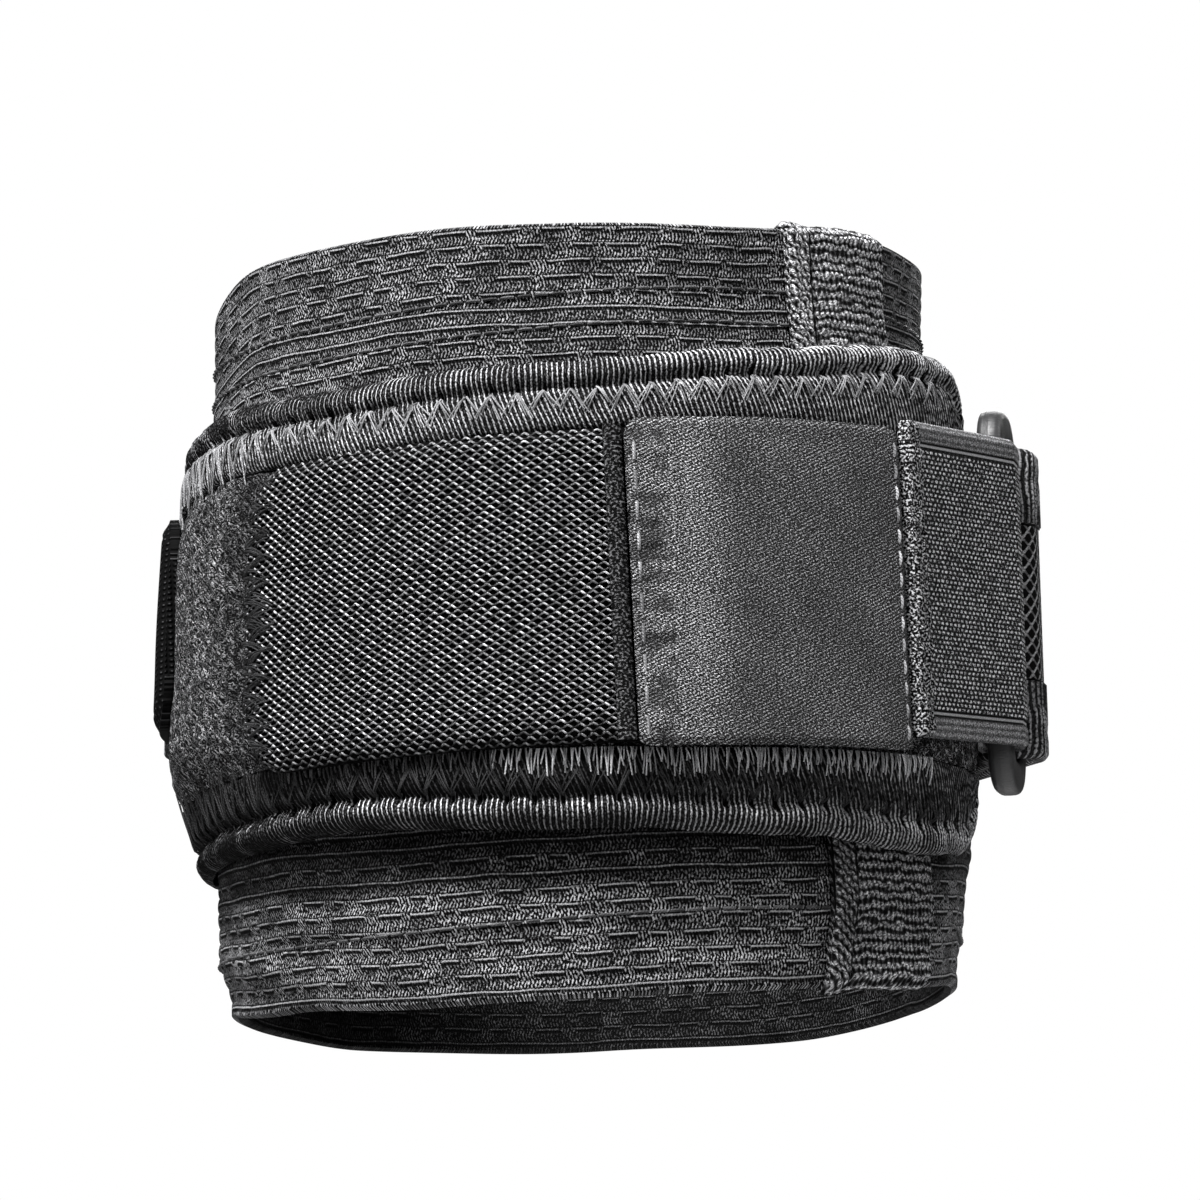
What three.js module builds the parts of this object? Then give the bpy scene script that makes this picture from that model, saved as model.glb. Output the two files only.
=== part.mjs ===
// A tennis elbow strap: an elastic sleeve that is pulled over the forearm, and round it a
// padded band whose closure strap runs through a plastic ring and back round the arm.
// Millimetres. +Z runs up the arm and the front of the strap faces -Y. Angles are in degrees
// about the arm, 0 at the front and growing towards +X, so 180 is the back.
import * as THREE from "three";

// Air between pieces that lie on each other
const CLEARANCE = 0.3;

// Elastic sleeve, its radius taken outside, under the padded band
const SLEEVE_RADIUS = 46;
const SLEEVE_WALL = 1.6;
const SLEEVE_HEIGHT = 91;
const RIM_ROUNDING = 0.4;

// Woven tape that covers the sleeve's seam and is turned in over both rims
const TAPE_ANGLE = 46.5;
const TAPE_WIDTH = 17.2;
const TAPE_THICKNESS = 1.2;
const TAPE_RETURN = 9;

// Padded band, from its back end round by the left side to its front end at the ring
const BAND_FROM = -238;
const BAND_TO = 73.5;
const BAND_THICKNESS = 4.8;
const BAND_HEIGHT = 55;
const BAND_CORNER = 7;
const BAND_LEAN = 0.057; // sideways shift for each millimetre of height

// Rolled knit border along both edges of the band
const BORDER_WIDTH = 8.6;
const GROOVE_INSET = 3.5;
const GROOVE_DEPTH = 1.1;
const ROLL_SINK = 0.7; // how far the crest of the rolled edge lies under the band's face
const ROLL_ROUNDING = 1.4;

// Mesh panel on the front of the band, and the welt between it and the label
const PANEL_FROM = -48.5;
const PANEL_THICKNESS = 2;
const PANEL_EDGE_THICKNESS = 1.1;
const PANEL_HEIGHT = 37;
const PANEL_SHOULDER = 1.2;
const PANEL_BULGE = 5.5; // reach of the rounded left end
const PANEL_END_SHARE = 0.55; // its height at the very end as a share of the panel's
const WELT_ANGLE = 4.9;
const WELT_WIDTH = 2.1;
const WELT_THICKNESS = 1.3;

// Woven label over the right part of the panel
const LABEL_TO = 45.2;
const LABEL_THICKNESS = 0.8;
const LABEL_HEIGHT = 38.6;

// Elastic tab that holds the ring
const TAB_THICKNESS = 1.4;
const TAB_HEIGHT = 38;

// Plastic ring. Its slot is worked out from the two folds that share it
const RING_ANGLE = 84;
const RING_YAW = 78; // the way its flat face looks
const RING_RISE = 1.1; // its middle plane over the band's outer face
const RING_THICKNESS = 3.2;
const RING_BAR = 3.8;
const RING_END_BAR = 4.2;
const RING_CORNER = 5.5;
const RING_BEVEL = 1;

// Closure strap: a mesh middle between two bound edges
const STRAP_HEIGHT = 39;
const STRAP_THICKNESS = 2;
const STRAP_EDGE_WIDTH = 9.6;
const STRAP_EDGE_THICKNESS = 2.4;
const STRAP_ANCHOR = 150; // where its sewn end starts, on the back of the band
const STRAP_END = 254;
const STRAP_END_HEIGHT = 27.5;
const STRAP_TAPER_FROM = 222;

// Hook tab at the end of the strap, which grips the band's pile
const HOOK_FROM = 245;
const HOOK_TO = 288;
const HOOK_THICKNESS = 1.3;
const HOOK_HEIGHT = 26.5;
const HOOK_CORNER = 6;

// Heights of the middles of the strap's pieces over the middle of the sleeve
const LABEL_MIDDLE = 0;
const TAB_MIDDLE = 1.4;
const RING_MIDDLE = 3;
const ANCHOR_MIDDLE = 1.4;
const HOOK_MIDDLE = 5.2;

// Steps of the sweeps, in degrees, and the shares of a piece's height where its points lie
const SLEEVE_STEP = 6;
const BAND_STEP = 5;
const SHORT_STEP = 5;
const FOLD_STEPS = 8;
const LEVELS = [0, 0.25, 0.5, 0.75, 1];
const SLEEVE_LEVELS = [0, 0.03, 0.1, 0.2, 0.29, 0.4, 0.5, 0.6, 0.71, 0.81, 0.91, 1];

// The sleeve's outline: height as a share of half its height, radius as a share of its radius
const SLEEVE_PROFILE = [
  { height: -1.03, radius: 0.973 },
  { height: -0.94, radius: 0.987 },
  { height: -0.78, radius: 1.014 },
  { height: -0.6, radius: 1.015 },
  { height: 0, radius: 0.998 },
  { height: 0.62, radius: 0.98 },
  { height: 0.8, radius: 0.964 },
  { height: 1.01, radius: 0.968 },
];

// The sleeve's two rims round the arm, as shares of half its height
const RIMS = [
  { angle: -180, top: 0.985, bottom: -1.008 },
  { angle: -135, top: 0.972, bottom: -0.995 },
  { angle: -90, top: 0.935, bottom: -0.952 },
  { angle: -58, top: 0.982, bottom: -0.991 },
  { angle: -25, top: 0.992, bottom: -1.024 },
  { angle: 0, top: 0.98, bottom: -1.026 },
  { angle: 25, top: 0.968, bottom: -1.018 },
  { angle: 52, top: 0.992, bottom: -1.002 },
  { angle: 84, top: 1.004, bottom: -0.97 },
  { angle: 115, top: 0.996, bottom: -0.988 },
  { angle: 145, top: 0.99, bottom: -1.02 },
  { angle: 180, top: 0.985, bottom: -1.008 },
];

// The band round the arm: thickness as a share of its own, edges as shares of half its height
const BAND_OUTLINE = [
  { angle: -238, thickness: 0.6, top: 0.9, bottom: -0.88 },
  { angle: -222, thickness: 0.95, top: 0.95, bottom: -0.93 },
  { angle: -205, thickness: 1, top: 0.97, bottom: -0.95 },
  { angle: -140, thickness: 1, top: 0.98, bottom: -0.96 },
  { angle: -90, thickness: 1.04, top: 0.99, bottom: -0.97 },
  { angle: -60, thickness: 1.04, top: 1.02, bottom: -0.95 },
  { angle: -36, thickness: 1, top: 0.99, bottom: -0.945 },
  { angle: 0, thickness: 1, top: 0.995, bottom: -1.01 },
  { angle: 28, thickness: 1, top: 1.045, bottom: -1.055 },
  { angle: 52, thickness: 1, top: 1.115, bottom: -1.11 },
  { angle: 64, thickness: 0.9, top: 1.12, bottom: -1.09 },
  { angle: 74, thickness: 0.75, top: 1.08, bottom: -1.03 },
];

// The value of one column of a table at a place between its rows, eased from row to row
function readTable(table, key, column, place) {
  const next = table.findIndex((row) => row[key] >= place);
  if (next === 0) return table[0][column];
  if (next < 0) return table[table.length - 1][column];
  const [low, high] = [table[next - 1], table[next]];
  const share = (place - low[key]) / (high[key] - low[key]);
  return THREE.MathUtils.lerp(low[column], high[column], THREE.MathUtils.smoothstep(share, 0, 1));
}

// An angle turned by whole turns into the range that a table or the band is written in
function wrapAngle(angle, lowest) {
  return lowest + THREE.MathUtils.euclideanModulo(angle - lowest, 360);
}

function outward(angle) {
  const turn = THREE.MathUtils.degToRad(angle);
  return new THREE.Vector2(Math.sin(turn), -Math.cos(turn));
}

function polar(angle, radius, height) {
  const way = outward(angle);
  return new THREE.Vector3(way.x * radius, way.y * radius, height);
}

// Angles from one end to the other in even steps no longer than the given one
function sweepAngles(from, to, step) {
  const count = Math.ceil(Math.abs(to - from) / step);
  return Array.from({ length: count + 1 }, (_, i) => from + ((to - from) * i) / count);
}

// Sweep angles with extra ones near both ends, so that a rounded corner stays round
function corneredAngles(from, to, step, corner, radius) {
  const reach = THREE.MathUtils.radToDeg(corner / radius);
  const shares = [0, 0.12, 0.35, 0.65];
  const start = shares.map((share) => from + reach * share);
  const end = shares.map((share) => to - reach * share).reverse();
  return [...start, ...sweepAngles(from + reach, to - reach, step), ...end];
}

// How much a rounded corner takes off the edge at a distance from the end
function cornerDrop(distance, corner) {
  const inside = Math.max(corner - distance, 0);
  return corner - Math.sqrt(corner * corner - inside * inside);
}

// A closed solid through rings of points. An open loft gets a flat cap at each end
function loft(rings, isLoop = false) {
  const count = rings[0].length;
  const points = rings.flat();
  const faces = [];
  const last = isLoop ? rings.length : rings.length - 1;
  for (let i = 0; i < last; i++) {
    const here = i * count;
    const there = ((i + 1) % rings.length) * count;
    for (let j = 0; j < count; j++) {
      const k = (j + 1) % count;
      faces.push([here + j, here + k, there + k], [here + j, there + k, there + j]);
    }
  }
  if (!isLoop) {
    const end = (rings.length - 1) * count;
    capFaces(rings[0]).forEach(([a, b, c]) => faces.push([c, b, a]));
    capFaces(rings[rings.length - 1]).forEach(([a, b, c]) => faces.push([end + a, end + b, end + c]));
  }
  const turned = signedVolume(points, faces) < 0 ? faces.map(([a, b, c]) => [c, b, a]) : faces;
  const geometry = new THREE.BufferGeometry().setFromPoints(points);
  geometry.setIndex(turned.flat());
  geometry.computeVertexNormals();
  return geometry;
}

// Triangles over a flat ring whose first and last points are one end of a strip: each step
// goes along whichever side gives the shorter cross edge
function capFaces(ring) {
  const faces = [];
  let [near, far] = [0, ring.length - 1];
  while (far - near > 1) {
    const isNearShorter =
      ring[near + 1].distanceTo(ring[far]) <= ring[near].distanceTo(ring[far - 1]);
    faces.push(isNearShorter ? [near, near + 1, far] : [near, far - 1, far]);
    if (isNearShorter) near++;
    else far--;
  }
  return faces;
}

function signedVolume(points, faces) {
  return faces.reduce((sum, [a, b, c]) => sum + points[a].dot(points[b].clone().cross(points[c])), 0);
}

// Outer face of the sleeve
function sleeveRadius(height) {
  return SLEEVE_RADIUS * readTable(SLEEVE_PROFILE, "height", "radius", height / (SLEEVE_HEIGHT / 2));
}

function rimHeight(angle, side) {
  return (SLEEVE_HEIGHT / 2) * readTable(RIMS, "angle", side, wrapAngle(angle, -180));
}

// The room that the band leaves for the seam tape beneath it
function tapeRoom(angle) {
  const halfWidth = THREE.MathUtils.radToDeg(TAPE_WIDTH / 2 / SLEEVE_RADIUS);
  const away = Math.abs(angle - TAPE_ANGLE) - halfWidth;
  const share = 1 - THREE.MathUtils.smoothstep(away, BAND_STEP, 2 * BAND_STEP);
  return share * (TAPE_THICKNESS + CLEARANCE);
}

function bandAngle(angle) {
  return wrapAngle(angle, BAND_FROM);
}

function bandThickness(angle) {
  return BAND_THICKNESS * readTable(BAND_OUTLINE, "angle", "thickness", bandAngle(angle));
}

// How far the leaning band is shifted outwards at a place
function leanShift(angle, height) {
  return BAND_LEAN * height * outward(angle).x;
}

function bandOuter(angle, height) {
  return sleeveRadius(height) + CLEARANCE + bandThickness(angle) + leanShift(angle, height);
}

function bandInner(angle, height) {
  const standOff = Math.max(leanShift(angle, height), 0);
  return sleeveRadius(height) + CLEARANCE + Math.max(standOff, tapeRoom(angle));
}

// Top or bottom edge of the band, before its corners are rounded off
function bandEdge(angle, side) {
  return (BAND_HEIGHT / 2) * readTable(BAND_OUTLINE, "angle", side, angle);
}

// How much the rounded corner takes off that edge
function bandCornerDrop(angle) {
  const toEnd = Math.min(angle - BAND_FROM, BAND_TO - angle);
  return cornerDrop(THREE.MathUtils.degToRad(toEnd) * SLEEVE_RADIUS, BAND_CORNER);
}

// Heights at the given shares of the way from one height to another
function heightsBetween(low, high, levels) {
  return levels.map((level) => THREE.MathUtils.lerp(low, high, level));
}

function bandAngles() {
  return corneredAngles(BAND_FROM, BAND_TO, BAND_STEP, BAND_CORNER, SLEEVE_RADIUS);
}

function makeSleeve() {
  const rings = sweepAngles(-180, 180 - SLEEVE_STEP, SLEEVE_STEP).map((angle) => {
    const heights = heightsBetween(rimHeight(angle, "bottom"), rimHeight(angle, "top"), SLEEVE_LEVELS);
    const outside = heights.map((height, i) => {
      const isRim = i === 0 || i === heights.length - 1;
      return polar(angle, sleeveRadius(height) - (isRim ? RIM_ROUNDING : 0), height);
    });
    const inside = heights.map((height, i) => {
      const isRim = i === 0 || i === heights.length - 1;
      return polar(angle, sleeveRadius(height) - SLEEVE_WALL + (isRim ? RIM_ROUNDING : 0), height);
    });
    return [...outside, ...inside.reverse()];
  });
  return loft(rings, true);
}

// The tape's outer run with its two returns inside the rims
function makeSeamTape() {
  const halfWidth = THREE.MathUtils.radToDeg(TAPE_WIDTH / 2 / SLEEVE_RADIUS);
  const [near, far] = [CLEARANCE, CLEARANCE + TAPE_THICKNESS];
  const rings = sweepAngles(TAPE_ANGLE - halfWidth, TAPE_ANGLE + halfWidth, SHORT_STEP).map((angle) => {
    const [low, high] = [rimHeight(angle, "bottom"), rimHeight(angle, "top")];
    const heights = heightsBetween(low, high, SLEEVE_LEVELS.slice(1, -1));
    const outside = (offset, height) => polar(angle, sleeveRadius(height) + offset, height);
    const inside = (offset, height) => polar(angle, sleeveRadius(height) - SLEEVE_WALL - offset, height);
    return [
      inside(far, low + TAPE_RETURN),
      inside(far, low - near),
      inside(near, low - far),
      outside(near, low - far),
      outside(far, low - near),
      ...heights.map((height) => outside(far, height)),
      outside(far, high + near),
      outside(near, high + far),
      inside(near, high + far),
      inside(far, high + near),
      inside(far, high - TAPE_RETURN),
      inside(near, high - TAPE_RETURN),
      inside(near, high + near),
      outside(near, high + near),
      ...heights.map((height) => outside(near, height)).reverse(),
      outside(near, low - near),
      inside(near, low - near),
      inside(near, low + TAPE_RETURN),
    ];
  });
  return loft(rings);
}

// The padded middle of the band, between its two borders
function makeBandCore() {
  const rings = bandAngles().map((angle) => {
    const inset = BORDER_WIDTH + CLEARANCE;
    const [low, high] = [bandEdge(angle, "bottom") + inset, bandEdge(angle, "top") - inset];
    const heights = heightsBetween(low, high, LEVELS);
    return [
      ...heights.map((height) => polar(angle, bandOuter(angle, height), height)),
      ...heights.map((height) => polar(angle, bandInner(angle, height), height)).reverse(),
    ];
  });
  return loft(rings);
}

// A border: flat where the zigzag seam holds it, a groove at its stitch row and a rolled edge
function makeBorder(side) {
  const way = side === "top" ? 1 : -1;
  const rings = bandAngles().map((angle) => {
    const share = (BORDER_WIDTH - bandCornerDrop(angle)) / BORDER_WIDTH;
    const edge = bandEdge(angle, side) - way * bandCornerDrop(angle);
    const at = (inset) => edge - way * inset * share;
    const outside = (sink, height) => polar(angle, bandOuter(angle, height) - sink, height);
    const inside = (height) => polar(angle, bandInner(angle, height), height);
    const between = (part) => THREE.MathUtils.lerp(bandInner(angle, edge), bandOuter(angle, edge), part);
    return [
      outside(0, at(BORDER_WIDTH)),
      outside(0, at(GROOVE_INSET + ROLL_ROUNDING)),
      outside(GROOVE_DEPTH, at(GROOVE_INSET)),
      outside(ROLL_SINK, at(GROOVE_INSET - ROLL_ROUNDING / 2)),
      outside(ROLL_SINK * 2, at(ROLL_ROUNDING)),
      polar(angle, between(0.5), at(ROLL_ROUNDING / 4)),
      polar(angle, between(0.25), edge),
      inside(at(ROLL_ROUNDING)),
      inside(at(BORDER_WIDTH)),
    ];
  });
  return loft(rings);
}

// Outer face of the mesh panel, where the label lies
function panelOuter(angle, height) {
  return bandOuter(angle, height) + CLEARANCE + PANEL_THICKNESS;
}

// Half the panel's height at an angle: its left end is rounded, where it is sewn on
function panelHalfHeight(angle) {
  const along = THREE.MathUtils.degToRad(angle - PANEL_FROM) * SLEEVE_RADIUS;
  const left = 1 - THREE.MathUtils.clamp(along / PANEL_BULGE, 0, 1);
  return (PANEL_HEIGHT / 2) * THREE.MathUtils.lerp(PANEL_END_SHARE, 1, Math.sqrt(1 - left * left));
}

function makePanel() {
  const labelUnder = LABEL_TO - degreesOnPanel(CLEARANCE);
  const angles = corneredAngles(PANEL_FROM, labelUnder, SHORT_STEP, PANEL_BULGE, SLEEVE_RADIUS);
  const rings = angles.map((angle, i) => {
    const half = panelHalfHeight(angle);
    const heights = heightsBetween(-half, half, LEVELS);
    const shoulder = PANEL_SHOULDER / half;
    const crown = i === 0 ? PANEL_EDGE_THICKNESS : PANEL_THICKNESS;
    const at = (thickness, height) =>
      polar(angle, bandOuter(angle, height) + CLEARANCE + thickness, height + LABEL_MIDDLE);
    return [
      at(PANEL_EDGE_THICKNESS, -half),
      ...heights.map((height) => at(crown, height * (1 - shoulder))),
      at(PANEL_EDGE_THICKNESS, half),
      ...heights.map((height) => at(0, height)).reverse(),
    ];
  });
  return loft(rings);
}

// A strip that lies on the panel between two angles
function layOnPanel(from, to, height, thickness) {
  const rings = sweepAngles(from, to, SHORT_STEP).map((angle) => {
    const at = (offset, share) => {
      const level = LABEL_MIDDLE + (share * height) / 2;
      return polar(angle, panelOuter(angle, level) + CLEARANCE + offset, level);
    };
    const shares = heightsBetween(-1, 1, LEVELS);
    return [
      ...shares.map((share) => at(thickness, share)),
      ...shares.map((share) => at(0, share)).reverse(),
    ];
  });
  return loft(rings);
}

function degreesOnPanel(length) {
  return THREE.MathUtils.radToDeg(length / panelOuter(WELT_ANGLE, 0));
}

function weltEnd() {
  return WELT_ANGLE + degreesOnPanel(WELT_WIDTH / 2);
}

function labelStart() {
  return weltEnd() + degreesOnPanel(CLEARANCE);
}

// How a fold of the given thickness sits round a bar of the ring
function foldRadius(thickness) {
  return RING_THICKNESS / 2 + CLEARANCE + thickness / 2;
}

function foldReach(thickness) {
  return foldRadius(thickness) + thickness / 2 - RING_BEVEL;
}

const SLOT_WIDTH = foldReach(TAB_THICKNESS) + foldReach(STRAP_EDGE_THICKNESS) + CLEARANCE;
const SLOT_HEIGHT = Math.max(TAB_HEIGHT, STRAP_HEIGHT) + 2 * CLEARANCE;
const RING_WIDTH = SLOT_WIDTH + 2 * RING_BAR;
const RING_HEIGHT = SLOT_HEIGHT + 2 * RING_END_BAR;
const RING_CENTRE = polar(RING_ANGLE, SLEEVE_RADIUS + CLEARANCE + BAND_THICKNESS + RING_RISE, RING_MIDDLE);

// Slope of the band's face against the arm at an angle, as sideways shift for each millimetre up
function faceSlope(angle) {
  const reach = STRAP_HEIGHT / 2;
  return (bandOuter(angle, reach) - bandOuter(angle, -reach)) / (2 * reach);
}

// A rounded ring outline, centred, for the ring's outside or its slot
function roundedOutline(path, width, height, corner) {
  const [x, y] = [width / 2, height / 2];
  path.moveTo(-x + corner, -y);
  path.lineTo(x - corner, -y);
  path.absarc(x - corner, -y + corner, corner, -Math.PI / 2, 0);
  path.lineTo(x, y - corner);
  path.absarc(x - corner, y - corner, corner, 0, Math.PI / 2);
  path.lineTo(-x + corner, y);
  path.absarc(-x + corner, y - corner, corner, Math.PI / 2, Math.PI);
  path.lineTo(-x, -y + corner);
  path.absarc(-x + corner, -y + corner, corner, Math.PI, 1.5 * Math.PI);
  return path;
}

function makeRing() {
  const outline = roundedOutline(new THREE.Shape(), RING_WIDTH, RING_HEIGHT, RING_CORNER);
  const slotCorner = Math.max(RING_CORNER - RING_BAR, RING_BEVEL / 2);
  outline.holes.push(roundedOutline(new THREE.Path(), SLOT_WIDTH, SLOT_HEIGHT, slotCorner));
  const depth = RING_THICKNESS - 2 * RING_BEVEL;
  const geometry = new THREE.ExtrudeGeometry(outline, {
    depth,
    bevelThickness: RING_BEVEL,
    bevelSize: RING_BEVEL,
    bevelOffset: -RING_BEVEL,
    bevelSegments: 2,
    curveSegments: 4,
  });
  return geometry.translate(0, 0, -depth / 2);
}

// A place on a strap's route seen from above, with the way its face leans and its middle height
function station(point, angle, middle) {
  return { point, lean: outward(angle).multiplyScalar(faceSlope(angle)), middle };
}

// A place beside the ring: along its width, and out from its middle plane
function atRing(along, out, middle) {
  const normal = outward(RING_YAW);
  const width = new THREE.Vector2(-normal.y, normal.x);
  const point = new THREE.Vector2(RING_CENTRE.x, RING_CENTRE.y);
  point.addScaledVector(width, along).addScaledVector(normal, out);
  return station(point, RING_ANGLE, middle);
}

function atRadius(angle, radius, middle) {
  return station(outward(angle).multiplyScalar(radius), angle, middle);
}

// A half turn round a bar of the ring, from its outer to its inner side. Side is -1 at the
// front bar and 1 at the back bar
function foldRoundBar(side, thickness, middle) {
  const centre = side * (SLOT_WIDTH / 2 + RING_BEVEL);
  const radius = foldRadius(thickness);
  return Array.from({ length: FOLD_STEPS + 1 }, (_, i) => {
    const turn = Math.PI / 2 - (Math.PI * i) / FOLD_STEPS;
    return atRing(centre - side * radius * Math.cos(turn), radius * Math.sin(turn), middle);
  });
}

function angleOf(stationed) {
  const degrees = THREE.MathUtils.radToDeg(Math.atan2(stationed.point.x, -stationed.point.y));
  return wrapAngle(degrees, 0);
}

// Where a straight line from a point meets the ray at an angle, as a radius
function crossRadius(point, chord, angle) {
  return point.cross(chord) / outward(angle).cross(chord);
}

// The radius at which the middle of a strap's run clears a face over its whole height
function restRadius(angle, middle, height, face) {
  const shares = heightsBetween(-height / 2, height / 2, LEVELS);
  return Math.max(...shares.map((up) => face(angle, middle + up) - faceSlope(angle) * up));
}

// Stations of a taut strap between two others: straight, or held out by what lies under it
function tautRun(start, end, surface) {
  const [from, to] = [angleOf(start), angleOf(end)];
  const chord = end.point.clone().sub(start.point);
  return sweepAngles(from, to, SHORT_STEP).slice(1, -1).map((angle) => {
    const middle = THREE.MathUtils.mapLinear(angle, from, to, start.middle, end.middle);
    const radius = Math.max(crossRadius(start.point, chord, angle), surface(angle, middle));
    return atRadius(angle, radius, middle);
  });
}

// Sweeps a section along stations. The section gives, for a station's number, points of
// offset across the strap and height over its middle
function sweepStrap(stations, section) {
  const rings = stations.map((here, i) => {
    const before = stations[Math.max(i - 1, 0)].point;
    const after = stations[Math.min(i + 1, stations.length - 1)].point;
    const along = after.clone().sub(before).normalize();
    const across = new THREE.Vector2(along.y, -along.x);
    return section(i).map(([offset, height]) => {
      const shift = here.point.clone().addScaledVector(across, offset).addScaledVector(here.lean, height);
      return new THREE.Vector3(shift.x, shift.y, here.middle + height);
    });
  });
  return loft(rings);
}

function flatSection(thickness, height) {
  const [x, y] = [thickness / 2, height / 2];
  return [[x, -y], [x, y], [-x, y], [-x, -y]];
}

// What a strap lies on: the band where there is band, and the sleeve in the gap beside the ring
function lyingFace(angle, height) {
  const isOnBand = bandAngle(angle) < BAND_TO + BAND_STEP;
  return (isOnBand ? bandOuter(angle, height) : sleeveRadius(height)) + CLEARANCE;
}

// The tab's route: from the label's end straight to the ring, round its front bar and back as
// far as the end of the band
function tabRoute() {
  const half = TAB_THICKNESS / 2;
  const startAngle = LABEL_TO + 2 * degreesOnPanel(CLEARANCE);
  const start = atRadius(startAngle, panelOuter(startAngle, 0) + CLEARANCE + half, TAB_MIDDLE);
  const corner = atRing(-RING_WIDTH / 2, foldRadius(TAB_THICKNESS), RING_MIDDLE);
  const fold = foldRoundBar(-1, TAB_THICKNESS, RING_MIDDLE);
  const surface = (angle, middle) => restRadius(angle, middle, TAB_HEIGHT, lyingFace) + half;
  const inward = fold[fold.length - 1];
  const back = atRing(-RING_WIDTH / 2, -foldRadius(TAB_THICKNESS), RING_MIDDLE);
  const tailAngle = BAND_TO + 2 * degreesOnPanel(CLEARANCE);
  const chord = back.point.clone().sub(inward.point);
  const tail = atRadius(tailAngle, crossRadius(back.point, chord, tailAngle), RING_MIDDLE);
  return [start, ...tautRun(start, corner, surface), corner, ...fold, back, tail];
}

function makeTab() {
  return sweepStrap(tabRoute(), () => flatSection(TAB_THICKNESS, TAB_HEIGHT));
}

// Middle radius of the strap's inner run, on the band or bridging to the ring
function innerRunRadius(angle, middle) {
  return restRadius(angle, middle, STRAP_HEIGHT, lyingFace) + STRAP_EDGE_THICKNESS / 2;
}

// Middle radius of the outer run: over the sewn end, then on the band, then on the hook tab
function outerRunRadius(angle, middle) {
  const layer = STRAP_EDGE_THICKNESS + CLEARANCE;
  const stepDown = STRAP_ANCHOR + 3 * SHORT_STEP;
  const overAnchor = 1 - THREE.MathUtils.smoothstep(angle, STRAP_ANCHOR, stepDown);
  const overHook = THREE.MathUtils.smoothstep(angle, HOOK_FROM - 2 * SHORT_STEP, HOOK_FROM - 1);
  return innerRunRadius(angle, middle) + layer * overAnchor + (HOOK_THICKNESS + CLEARANCE) * overHook;
}

// The closure strap's route: sewn to the back of the band, through the ring, round its back
// bar and then round the arm to the hook tab
function strapRoute() {
  const middleAt = (angle) =>
    THREE.MathUtils.mapLinear(angle, RING_ANGLE, HOOK_TO, RING_MIDDLE, HOOK_MIDDLE);
  const bandEnd = BAND_FROM + 360;
  const reach = foldRadius(STRAP_EDGE_THICKNESS);
  const anchored = sweepAngles(STRAP_ANCHOR, bandEnd, SHORT_STEP).map((angle) =>
    atRadius(angle, innerRunRadius(angle, ANCHOR_MIDDLE), ANCHOR_MIDDLE),
  );
  const insideRing = atRing(RING_WIDTH / 2, -reach, RING_MIDDLE);
  const outsideRing = atRing(RING_WIDTH / 2, reach, RING_MIDDLE);
  const fold = foldRoundBar(1, STRAP_EDGE_THICKNESS, RING_MIDDLE).reverse();
  const inner = tautRun(anchored[anchored.length - 1], insideRing, innerRunRadius);
  const landing = sweepAngles(bandEnd, STRAP_END, SHORT_STEP).map((angle) =>
    atRadius(angle, outerRunRadius(angle, middleAt(angle)), middleAt(angle)),
  );
  const outer = tautRun(outsideRing, landing[0], outerRunRadius);
  return [...anchored, ...inner, insideRing, ...fold, outsideRing, ...outer, ...landing];
}

// Height of the strap at each station, narrowing to the hook tab on its last stretch
function strapHeights(stations) {
  const foldAt = stations.findIndex((here, i) => i > 0 && angleOf(here) > angleOf(stations[i - 1]));
  return stations.map((here, i) => {
    const share = i < foldAt ? 0 : THREE.MathUtils.smoothstep(angleOf(here), STRAP_TAPER_FROM, STRAP_END);
    return THREE.MathUtils.lerp(STRAP_HEIGHT, STRAP_END_HEIGHT, share);
  });
}

function makeStrapMesh() {
  const stations = strapRoute();
  const heights = strapHeights(stations);
  return sweepStrap(stations, (i) =>
    flatSection(STRAP_THICKNESS, heights[i] - 2 * (STRAP_EDGE_WIDTH + CLEARANCE)),
  );
}

function makeStrapEdge(way) {
  const stations = strapRoute();
  const heights = strapHeights(stations);
  const half = STRAP_EDGE_THICKNESS / 2;
  return sweepStrap(stations, (i) => {
    const outer = heights[i] / 2;
    const inner = outer - STRAP_EDGE_WIDTH;
    const section = [
      [half, inner],
      [half, outer - half],
      [half / 2, outer],
      [-half / 2, outer],
      [-half, outer - half],
      [-half, inner],
    ];
    return section.map(([offset, height]) => [offset, way * height]);
  });
}

// The hook tab lies on the band, with its free corners rounded
function makeHookTab() {
  const inner = (angle, height) => bandOuter(angle, height) + CLEARANCE;
  const radius = inner(HOOK_TO, 0);
  const rings = corneredAngles(HOOK_FROM, HOOK_TO, SHORT_STEP, HOOK_CORNER, radius).map((angle) => {
    const distance = THREE.MathUtils.degToRad(HOOK_TO - angle) * radius;
    const half = HOOK_HEIGHT / 2 - cornerDrop(distance, HOOK_CORNER);
    const at = (thickness, share) => {
      const height = HOOK_MIDDLE + share * half;
      return polar(angle, inner(angle, height) + thickness, height);
    };
    const shares = heightsBetween(-1, 1, LEVELS);
    return [
      ...shares.map((share) => at(HOOK_THICKNESS, share)),
      ...shares.map((share) => at(0, share)).reverse(),
    ];
  });
  return loft(rings);
}

function cloth(colour, roughness) {
  return new THREE.MeshStandardMaterial({ color: colour, roughness, metalness: 0 });
}

const elasticKnit = cloth(0x26272a, 0.85);
const ribbedKnit = cloth(0x2e2f32, 0.75);
const pileKnit = cloth(0x2b2c2f, 0.95);
const meshKnit = cloth(0x1c1d1f, 0.8);
const wovenTape = cloth(0x222326, 0.8);
const satin = cloth(0x303134, 0.45);
const hookPlastic = cloth(0x141416, 0.7);
const plastic = cloth(0x3a3b3e, 0.4);

const strap = new THREE.Group();

function addPiece(name, geometry, material, parent = strap) {
  const mesh = new THREE.Mesh(geometry, material);
  mesh.name = name;
  parent.add(mesh);
  return mesh;
}

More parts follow.
